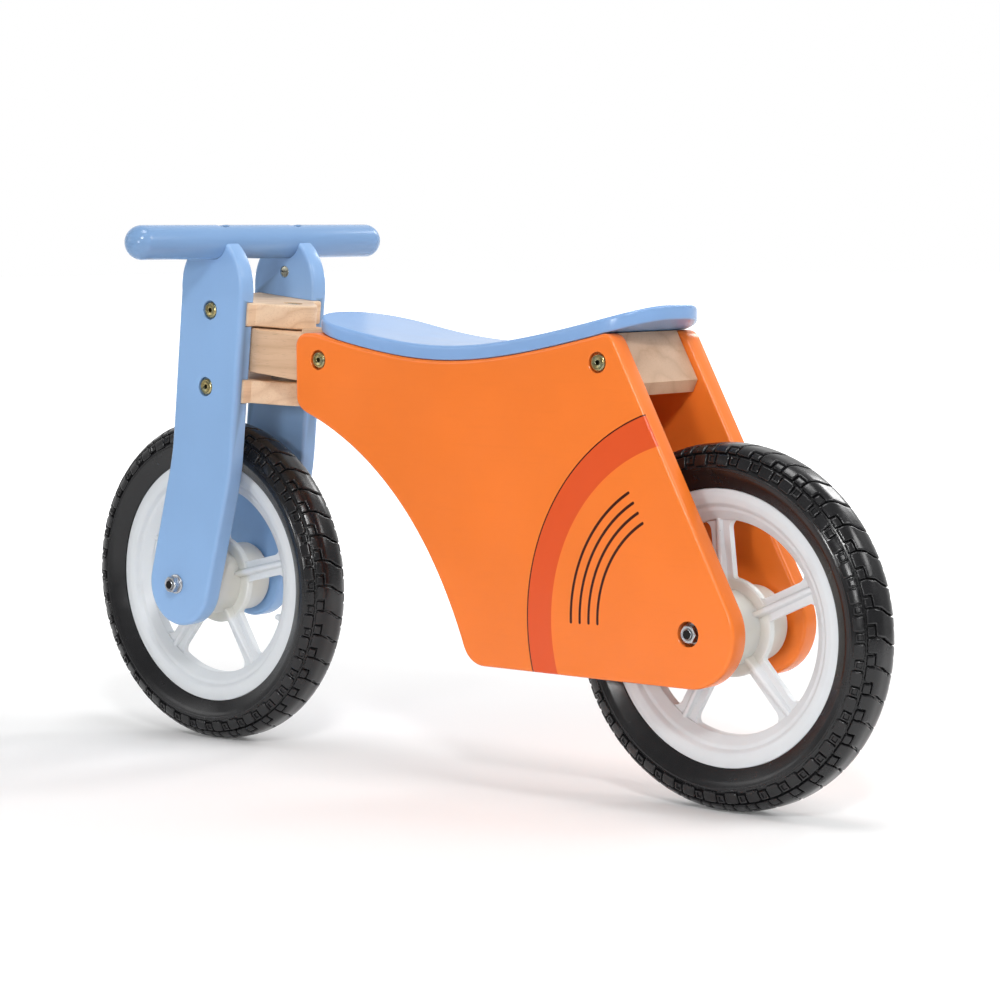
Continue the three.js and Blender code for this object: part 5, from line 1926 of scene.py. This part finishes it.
@dataclass
class Blocks:
    """The head block, which the fork swivels in, and the rear block under the seat."""

    layout: Layout
    side_gap: float = 0.9
    tail: float = 21.0
    landing: float = 49.0
    rear_height: float = 49.0
    rear_length: float = 41.0
    rear_inset: float = 5.6
    chamfer: float = 10.0
    bush_outer: float = 5.9

    def raked(self, level: float, x: float) -> float:
        """Returns the height of a raked plane where it crosses X in the side view."""
        here = self.layout
        on_axis = here.leaned(here.pivot_x, level)
        return on_axis[1] + (x - on_axis[0]) * tan(radians(here.rake))

    def head(self) -> Piece:
        """Makes the head block."""
        here = self.layout
        half = here.panel_gap / 2 - self.side_gap
        back = here.front_bolt[0] - self.tail
        nose = here.head_top[0] + 2 * half
        step = here.head_top[0] - self.landing
        shoulder = here.deck + here.shoulder_rise
        low, high = here.head_low, here.head_high
        outline = [(x, self.raked(low, x)) for x in (back, nose)]
        outline += [(x, self.raked(high, x)) for x in (nose, step)]
        outline += [(step, shoulder), *here.top_run(here.panel_front, back, shoulder)]
        tail = here.pivot_x - (here.head_top[0] - back) - 2 * half
        plan = [(tail, -half), (here.pivot_x, -half)]
        plan += arc((here.pivot_x, 0), half, -pi / 2, pi / 2, 48)[1:-1]
        plan += [(here.pivot_x, half), (tail, half)]
        side = plate(outline, -half - 2, half + 2, 0.01).object("head_block_wood")
        round_nose = plate(plan, low - 40, high + 40, 0.01, View.PLAN).object("nose", here.lean)
        combine(side, [round_nose], Join.KEEP)
        soften(side, 1.1)
        bore = rod(self.bush_outer + GAP, low - 3, high + 3).object(
            "bore", here.lean @ moved(here.pivot_x) @ UPRIGHT
        )
        return combine(side, [bore, self.bolt_hole(half, here.front_bolt)], Join.CUT)

    def bolt_hole(self, half: float, place: Pair) -> Piece:
        """Makes the cutter for the bolts' hole across a block."""
        return rod(BOLT_BORE, -half - 3, half + 3).object("bolts", moved(place[0], 0, place[1]))

    def rear(self) -> Piece:
        """Makes the rear block."""
        here = self.layout
        half = here.panel_gap / 2 - GAP
        low = here.rear_deck - self.rear_height
        front = here.rear_bolt[0] + self.rear_length - here.rear_bolt_inset
        touch = line_touch(here.back_corner, here.rear_axle, SidePanels.foot_radius, 1)
        run = (sin(touch), -cos(touch))
        start = (
            here.back_corner[0] + self.rear_inset * run[1],
            here.back_corner[1] - self.rear_inset * run[0],
        )

        def on_back(z: float) -> float:
            """Returns the X of the sloping back at a height."""
            return start[0] + (z - start[1]) * run[0] / run[1]

        outline = [(front, low)]
        outline += here.top_run(front, here.rear_deck_x, here.deck)
        outline += [(on_back(here.rear_deck), here.rear_deck)]
        outline += [(on_back(low + self.chamfer), low + self.chamfer)]
        outline += [(on_back(low) + self.chamfer, low)]
        block = plate(outline, -half, half, 1.2, steps=4).object("rear_block_wood")
        return combine(block, [self.bolt_hole(half, here.rear_bolt)], Join.CUT)

    def build(self) -> None:
        """Makes both blocks and dresses them."""
        dress(self.head(), HEAD_WOOD, "frame", ["head_block"])
        dress(self.rear(), REAR_WOOD, "frame", ["rear_block"])


def soften(piece: Piece, width: float) -> None:
    """Rounds a piece's sharp edges by a Bevel modifier, applied.

    Args:
        piece: The piece.
        width: Width of the rounding in millimetres.
    """
    bevel = piece.modifiers.new("edges", "BEVEL")
    bevel.width = width * MM
    bevel.segments = 4
    bevel.limit_method = "ANGLE"
    bevel.angle_limit = radians(38)
    apply_modifiers(piece)


@dataclass
class Seat:
    """The bent plywood seat."""

    layout: Layout
    width: float = 112.0
    thickness: float = 12.0
    front_radius: float = 52.0
    rear_radius: float = 45.0
    ease: float = 3.2
    under_ease: float = 1.3
    step: float = 5.0
    kick_start: float = 44.0
    kick: float = 3.0

    def build(self) -> None:
        """Makes the seat flat, bends it and dresses it."""
        here = self.layout
        half = self.width / 2
        eases = (self.rear_radius, self.front_radius)
        outline = filleted(oblong(here.seat_rear, here.seat_front, -half, half, eases), 28)
        shell = plate(outline, 0, self.thickness, self.ease, View.PLAN, 7, low_ease=self.under_ease)
        mesh = shell.mesh("seat_board_painted")
        shape = bmesh.new()
        shape.from_mesh(mesh)
        count = round(here.seat_length / self.step)
        places = [here.seat_rear + here.seat_length * i / count for i in range(1, count)]
        sliced(shape, 0, [x * MM for x in places])
        for vert in shape.verts:
            x = vert.co.x / MM
            vert.co.z += (here.seat_under(x) + self.kicked(x)) * MM
        shape.to_mesh(mesh)
        shape.free()
        seat = linked("seat_board_painted", mesh)
        dress(seat, SEAT_BLUE, "frame", ["seat_board"])

    def kicked(self, x: float) -> float:
        """Returns how far the seat's tail curls up past its long bend."""
        share = max(0.0, 1 - (x - self.layout.seat_rear) / self.kick_start)
        return self.kick * share * share


# ---- Fork ----


@dataclass
class Bridges:
    """The two wooden bridges between the blades."""

    layout: Layout
    dado: float = 9.0
    nose_radius: float = 21.5
    back_edge: float = 9.4
    front_inset: float = 6.5
    ease: float = 1.8
    head_radius: float = 8.6
    head_sink: float = 4.7
    nut_sink: float = 8.9

    def outline(self) -> list[Pair]:
        """Returns the plan in the fork's frame."""
        here = self.layout
        front = here.blade_front - self.front_inset
        back = here.pivot_x + self.back_edge
        end = here.blade_inner + self.dado
        shoulder = here.blade_inner - 0.6
        touch = line_touch((back, shoulder), (here.pivot_x, 0), self.nose_radius, 1)
        nose = arc((here.pivot_x, 0), self.nose_radius, touch, 2 * pi - touch, 36)
        left = [(front, end), (back, end), (back, shoulder)]
        return [(front, -end), *left, *nose, (back, -shoulder), (back, -end)]

    def build(self) -> None:
        """Makes both bridges and dresses them."""
        here = self.layout
        for label, level in (("upper", here.upper_bridge), ("lower", here.lower_bridge)):
            top = level + here.bridge_thickness
            shell = plate(self.outline(), level, top, self.ease, View.PLAN, 4)
            bridge = shell.object(f"{label}_bridge_wood", here.lean)
            about = here.lean @ moved(here.pivot_x) @ UPRIGHT
            sink = (top - self.head_sink, top + 3)
            if label == "lower":
                sink = (level - 3, level + self.nut_sink)
            end = here.blade_inner + self.dado
            bolts = here.lean @ moved(here.bolt_line, 0, level + here.bridge_thickness / 2)
            cutters = [
                rod(AXLE_BORE, level - 3, top + 3).object("bore", about),
                rod(self.head_radius, *sink, 48).object("sink", about),
                rod(BOLT_BORE, -end - 3, end + 3).object("bolts", bolts),
            ]
            combine(bridge, cutters, Join.CUT)
            dress(bridge, BRIDGE_WOOD, "fork", [f"{label}_fork_bridge"])


@dataclass
class Blades:
    """The two painted fork blades."""

    layout: Layout
    ease: float = 3.2
    foot_radius: float = 37.0
    foot_shift: float = 2.5
    bend_drop: float = 54.0
    bend_stagger: float = 10.0
    bend_reach: float = 17.0
    narrowing: float = 0.6
    shoulder_drop: float = 46.5
    crown_rise: float = 5.0
    crown_reach: float = 24.0
    crown_fall: float = 1.5
    front_shoulder: Pair = (4.0, 27.0)
    back_shoulder: Pair = (1.5, 23.0)
    housing_back: float = 6.4
    bolt_sink: Pair = (8.4, 3.6)

    def outline(self) -> list[Pair]:
        """Returns the side-view outline in the fork's frame."""
        here = self.layout
        foot = (-self.foot_shift, 0.0)
        bend_z = here.lower_bridge - self.bend_drop
        front, back = here.blade_front, here.blade_back
        front_bend = (front, bend_z)
        back_bend = (back + self.narrowing, bend_z - self.bend_stagger)
        front_touch = line_touch(front_bend, foot, self.foot_radius, -1)
        back_touch = line_touch(back_bend, foot, self.foot_radius, 1)
        shoulder = here.bar_z - self.shoulder_drop
        crown = here.bar_z + self.crown_rise
        pull = crown - self.crown_fall
        middle = here.bolt_line
        front_start = on_circle(foot, self.foot_radius, front_touch)
        back_start = on_circle(foot, self.foot_radius, back_touch)
        bulge, reach = self.front_shoulder
        top = [(front, shoulder), (front + bulge, shoulder + reach)]
        top += [(middle + self.crown_reach, pull), (middle, crown)]
        bulge, reach = self.back_shoulder
        down = [(middle, crown), (middle - self.crown_reach, pull)]
        down += [(back - bulge, shoulder + reach), (back, shoulder)]
        return [
            *arc(foot, self.foot_radius, back_touch, front_touch + 2 * pi, 48),
            *bend(front_start, front_bend, (front, shoulder), self.bend_reach, 10),
            (front, shoulder),
            *bezier(top, 28),
            *bezier(down, 28),
            *bend((back, shoulder), back_bend, back_start, self.bend_reach, 10),
        ]

    def build(self) -> None:
        """Makes both blades and dresses them."""
        here = self.layout
        inner, outer = here.blade_inner, here.blade_outer
        drawn = self.outline()
        through = (-outer - 5, outer + 5)
        for side, sign in SIDES:
            low, high = (inner, outer) if sign > 0 else (-outer, -inner)
            blade = plate(drawn, low, high, self.ease).object(f"{side}_blade_painted", here.lean)
            cutters = [rod(AXLE_BORE, *through).object("axle", here.lean)]
            cradle = here.lean @ moved(here.bolt_line, 0, here.bar_z)
            cutters.append(rod(Handlebar.radius + GAP, *through, 72).object("cradle", cradle))
            nut = here.lean @ moved(here.bolt_line, 0, here.bar_z - Handlebar.nut_drop)
            ends = sorted((sign * (inner - 3), sign * (inner + Handlebar.nut_length + 2 * GAP)))
            cutters.append(rod(Handlebar.nut_radius + GAP, *ends).object("nut", nut))
            for level in (here.lower_bridge, here.upper_bridge):
                cutters.append(self.housing(level, sign))
                spot = here.lean @ moved(here.bolt_line, 0, level + here.bridge_thickness / 2)
                cutters.append(rod(BOLT_BORE, *through).object("bolt", spot))
                cutters.append(counterbore(outer, *self.bolt_sink, sign).object("sink", spot))
            combine(blade, cutters, Join.CUT)
            dress(blade, BLUE, "fork", [f"{side}_fork_blade"])

    def housing(self, level: float, sign: int) -> Piece:
        """Makes the cutter for the housing that a bridge's end sits in.

        Args:
            level: Height of the bridge's underside in the fork's frame.
            sign: One for the left blade, minus one for the right.

        Returns:
            The cutter.
        """
        here = self.layout
        front = here.blade_front - Bridges.front_inset + GAP
        back = here.blade_back - self.housing_back
        depth = here.blade_inner + Bridges.dado + GAP
        ends = sorted((sign * (here.blade_inner - 2), sign * depth))
        top = level + here.bridge_thickness + GAP
        cutter = cuboid((back, ends[0], level - GAP), (front, ends[1], top))
        return cutter.object("housing", here.lean)


@dataclass
class Handlebar:
    """The round bar, the screws that hold it and their slotted barrel nuts."""

    layout: Layout
    scatter: Scatter
    radius: float = 14.9
    length: float = 307.0
    screw_radius: float = 3.0
    head_radius: float = 5.8
    sink: float = 3.0
    nut_drop: float = 27.2
    nut_radius: float = 5.0
    nut_length: float = 14.0
    socket: float = 4.0

    def build(self) -> None:
        """Makes the bar, the screws and the nuts and dresses them."""
        here = self.layout
        place = here.lean @ moved(here.bolt_line, 0, here.bar_z)
        screw_y = here.blade_inner + here.blade_thickness / 2
        middle = self.length / 2 - self.radius
        cap = [
            (self.radius * cos(a), middle + self.radius * sin(a))
            for a in (pi / 2 * i / 16 for i in range(16))
        ]
        cap.append((0.0, self.length / 2))
        profile = [(r, -y) for r, y in reversed(cap)]
        profile += [(self.radius, -screw_y), (self.radius, 0), (self.radius, screw_y), *cap]
        bar = turned(profile, 72).object("handlebar_painted", place)
        crest, shank, head = self.radius, self.screw_radius, self.head_radius
        top = crest - self.sink
        seat = top - 1
        neck = seat - (head - shank)
        hole = [(0, -crest - 3), (BOLT_BORE, -crest - 3), (BOLT_BORE, neck), (head + GAP, seat)]
        hole += [(head + 0.5, crest - 1.0), (head + 1.6, crest + 0.2)]
        hole += [(head + 1.6, crest + 3), (0, crest + 3)]
        spots = [place @ moved(y=sign * screw_y) for _, sign in SIDES]
        cutters = [turned(hole, 48).object("screw", spot @ UPRIGHT) for spot in spots]
        combine(bar, cutters, Join.CUT)
        dress(bar, SHADED_BAR_BLUE, "fork", ["handlebar"])

        tip = -self.nut_drop - self.nut_radius - 5
        corners = [(0, tip), (shank - 0.6, tip), (shank, tip + 1), (shank, neck), (head, seat)]
        corners += [(head, top - 0.15), (head - 0.15, top), (0, top)]
        screw = socketed(corners, self.socket, top - 2.2, top, "bar_screw")
        spots = [(spot.translation, self.euler(UPRIGHT)) for spot in spots]
        made = self.scatter.spread("handlebar_screws", screw, spots, BRIGHT_ZINC)
        dress(made, BRIGHT_ZINC, "fork", [f"handlebar_screw_{side}" for side, _ in SIDES])

        nut_place = here.lean @ moved(here.bolt_line, 0, here.bar_z - self.nut_drop)
        inner = here.blade_inner + GAP
        spots = []
        for _, sign in SIDES:
            turn = Matrix.Identity(4) if sign > 0 else ABOUT
            spots.append(((nut_place @ moved(y=sign * inner)).translation, self.euler(turn)))
        made = self.scatter.spread("handlebar_nuts", self.slotted_nut(), spots, SLOTTED)
        dress(made, SLOTTED, "fork", [f"handlebar_nut_{side}" for side, _ in SIDES])

    def euler(self, turn: Matrix) -> Point:
        """Returns the Euler angles of a turn in the fork's frame."""
        return tuple((self.layout.lean.to_3x3() @ turn.to_3x3()).to_euler("XYZ"))

    def slotted_nut(self) -> Piece:
        """Makes a barrel nut along Y with a slot across its end."""
        corners = [(0, 0, 0), (self.nut_radius, 0, 0.6), (self.nut_radius, self.nut_length, 0.6)]
        body = turned(filleted([*corners, (0, self.nut_length, 0)], 4), 48).object("barrel_nut")
        middle = self.layout.blade_thickness / 2 - GAP
        hole = rod(BOLT_BORE, -9, 9).object("hole", moved(y=middle) @ UPRIGHT)
        slot = cuboid((-9, -1.3, -0.8), (9, 1.3, 0.8)).object("slot")
        return combine(body, [hole, slot], Join.CUT)


@dataclass
class Pivot:
    """The steering bolt with its nut and washers."""

    layout: Layout
    radius: float = 4.0
    head_radius: float = 8.0
    head_height: float = 3.6
    head_sink: float = 0.8
    socket: float = 5.0
    socket_depth: float = 2.4
    nut_sink: float = 0.6
    nut_height: float = 6.5
    washer_radius: float = 8.0
    washer_thickness: float = 1.2

    def build(self) -> None:
        """Makes the bolt, the nut and the washer and dresses them."""
        here = self.layout
        place = here.lean @ moved(here.pivot_x) @ UPRIGHT
        top = here.upper_bridge + here.bridge_thickness - self.head_sink
        seat = top - self.head_height
        low = here.lower_bridge + self.nut_sink
        shank, head = self.radius, self.head_radius
        profile = [(0, low), (shank - 0.6, low), (shank, low + 0.8), (shank, seat), (head, seat)]
        profile += [(head, top - 0.9), (head - 0.3, top - 0.3), (head - 1.1, top), (0, top)]
        bolt = socketed(profile, self.socket, top - self.socket_depth, top, "pivot_bolt_plated")
        bolt.data.transform(metres(place))
        dress(bolt, YELLOW_ZINC, "fork", ["pivot_bolt"])
        nut = HexBody().make("pivot_nut_plated", low + self.nut_height, low, AXLE_BORE)
        nut.data.transform(metres(place))
        dress(nut, YELLOW_ZINC, "fork", ["pivot_nut"])
        start = low + self.nut_height + GAP
        end = start + self.washer_thickness
        corners = oblong(self.radius + GAP, self.washer_radius, start, end, (0.2, 0.3))
        washer = turned(filleted(corners, 3), 56, ring=True).object("pivot_washer_plated", place)
        dress(washer, YELLOW_ZINC, "fork", ["pivot_washer"])


@dataclass
class Kept:
    """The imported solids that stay, nearly all of them hidden inside, with their finishes."""

    def build(self) -> None:
        """Gives each its material."""
        ends = ("front", "rear")
        for side, _ in SIDES:
            for node in (*(f"{end}_panel_barrel_nut_{side}" for end in ends),
                         f"upper_fork_barrel_nut_{side}", f"lower_fork_barrel_nut_{side}"):
                coat(node, STEEL)
            for node in (f"front_washer_{side}", f"rear_spacer_{side}"):
                coat(node, BRIGHT_ZINC)
        for end in ends:
            for number in (1, 2):
                coat(f"seat_screw_{end}_{number}", BRIGHT_ZINC)
        for node in ("head_bush_upper", "head_bush_lower"):
            coat(node, NYLON)
        # Painted shade: the thrust washer is dark for the shade in its gap.
        coat("thrust_washer", SHADE_NYLON)


# ---- Studio ----


@dataclass
class Studio:
    """A pale floor, soft lamps and the camera."""

    camera_at: Point = (-1641.95, 1873.26, 447.71)
    lens: float = 106.732
    azimuth: float = 220.374
    elevation: float = 4.990
    roll: float = -0.517
    dim: float = 0.31
    floor_half: float = 30.0

    def build(self) -> None:
        """Makes the camera, the lamps, the world and the floor."""
        self.camera()
        self.floor()
        self.world()
        self.lamp("key", (-2.1, 2.2, 2.3), (0.0, 0.0, 0.25), 0.45, 40.0)
        self.lamp("top", (-0.5, 0.1, 2.9), (0.0, 0.0, 0.2), 0.9, 24.0)
        self.lamp("front", (-1.0, 3.0, 0.75), (0.0, 0.0, 0.25), 0.45, 19.5)
        self.lamp("side", (2.4, 2.2, 1.2), (0.2, 0.0, 0.25), 1.2, 8.0)
        self.lamp("rim", (-2.4, -1.5, 1.9), (-0.2, 0.0, 0.25), 1.0, 22.0)
        self.lamp("far", (-0.3, -2.6, 1.9), (0.0, 0.0, 0.25), 0.7, 17.0)
        bpy.context.scene.view_settings.view_transform = "Standard"

    def camera(self) -> None:
        """Places the camera."""
        turn, rise, roll = (radians(a) for a in (self.azimuth, self.elevation, self.roll))
        back = Vector((sin(turn) * cos(rise), -cos(turn) * cos(rise), sin(rise)))
        right = (-back).cross(Vector((0, 0, 1))).normalized()
        up = right.cross(-back)
        across = right * cos(roll) + up * sin(roll)
        over = -right * sin(roll) + up * cos(roll)
        data = bpy.data.cameras.new("camera")
        data.sensor_width = 36.0
        data.lens = self.lens
        data.clip_end = 100.0
        camera = bpy.data.objects.new("camera", data)
        bpy.context.scene.collection.objects.link(camera)
        basis = Matrix((across, over, back)).transposed().to_4x4()
        camera.matrix_world = Matrix.Translation(Vector(self.camera_at) * MM) @ basis
        bpy.context.scene.camera = camera

    def lamp(self, name: str, at: Point, aim: Point, size: float, power: float) -> None:
        """Places a soft square lamp.

        Args:
            name: The lamp's name.
            at: Its place in metres.
            aim: The point that it faces.
            size: Its side in metres.
            power: Its power in watts.
        """
        data = bpy.data.lights.new(name, "AREA")
        data.shape = "SQUARE"
        data.size = size
        data.energy = power
        lamp = bpy.data.objects.new(name, data)
        bpy.context.scene.collection.objects.link(lamp)
        facing = (Vector(aim) - Vector(at)).to_track_quat("-Z", "Y")
        lamp.matrix_world = Matrix.Translation(at) @ facing.to_matrix().to_4x4()

    def world(self) -> None:
        """Fills the world with pale light, white behind the bike and greyer in front of it."""
        made = bpy.data.worlds.new("studio")
        made.use_nodes = True
        graph = Graph(made.node_tree)
        where = graph.node("ShaderNodeTexCoord").outputs["Generated"]
        turn = radians(self.azimuth)
        ahead = (-sin(turn), cos(turn), 0.0)
        facing = graph.vector("DOT_PRODUCT", where, ahead).outputs["Value"]
        level = graph.span(facing, 0.2, 0.8, self.dim, 1.0)
        shader = made.node_tree.nodes["Background"]
        shader.inputs["Color"].default_value = (1.0, 1.0, 1.0, 1.0)
        graph.feed(shader.inputs["Strength"], level)
        bpy.context.scene.world = made

    def floor(self) -> None:
        """Lays a pale floor that runs out white behind the bike and darker round about."""
        half = self.floor_half
        corners = [(-half, -half, 0), (half, -half, 0), (half, half, 0), (-half, half, 0)]
        mesh = bpy.data.meshes.new("floor")
        mesh.from_pydata(corners, [], [(0, 1, 2, 3)])
        floor = linked("floor", mesh)
        made = bpy.data.materials.new("studio_floor")
        made.use_nodes = True
        graph = Graph(made.node_tree)
        where = graph.node("ShaderNodeTexCoord").outputs["Object"]
        turn = radians(self.azimuth)
        ahead = graph.vector("DOT_PRODUCT", where, (-sin(turn), cos(turn), 0.0))
        across = graph.vector("DOT_PRODUCT", where, (cos(turn), sin(turn), 0.0))
        widening = graph.times(ahead.outputs["Value"], 0.3)
        aside = graph.maths("SUBTRACT", graph.maths("ABSOLUTE", across.outputs["Value"]), widening)
        near = graph.span(ahead.outputs["Value"], -1.5, -0.9)
        pale = graph.times(near, graph.span(aside, 1.0, 1.8, 1.0, 0.0))
        shader = made.node_tree.nodes["Principled BSDF"]
        tone = graph.mix(pale, opaque((0.22, 0.22, 0.22)), opaque((0.9, 0.9, 0.9)))
        graph.feed(shader.inputs["Base Color"], tone)
        shader.inputs["Roughness"].default_value = 0.9
        shader.inputs["Specular IOR Level"].default_value = 0.0
        shader.inputs["Emission Color"].default_value = (1.0, 1.0, 1.0, 1.0)
        glow = graph.span(ahead.outputs["Value"], 0.2, 2.4, 0.08, 1.0)
        graph.feed(shader.inputs["Emission Strength"], glow)
        mesh.materials.append(made)


def main() -> None:
    """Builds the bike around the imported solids, sub-assembly by sub-assembly."""
    logging.basicConfig(level=logging.INFO, format="%(message)s")
    layout = Layout()
    scatter, rounds = Scatter(), Rounds()
    Studio().build()
    SidePanels(layout).build()
    Blocks(layout).build()
    Seat(layout).build()
    Bridges(layout).build()
    Blades(layout).build()
    Handlebar(layout, scatter).build()
    FurnitureBolts(layout, scatter).build()
    Pivot(layout).build()
    Axle("front", "fork", layout.blade_outer, layout).build()
    seat = layout.panel_outer - SidePanels.sink_depth
    Axle("rear", "frame", seat, layout, flange_radius=9.3).build()
    Wheel("front", 167.1, rounds).build()
    Wheel("rear", 11.9, rounds).build()
    Kept().build()


if __name__ == "__main__":
    main()
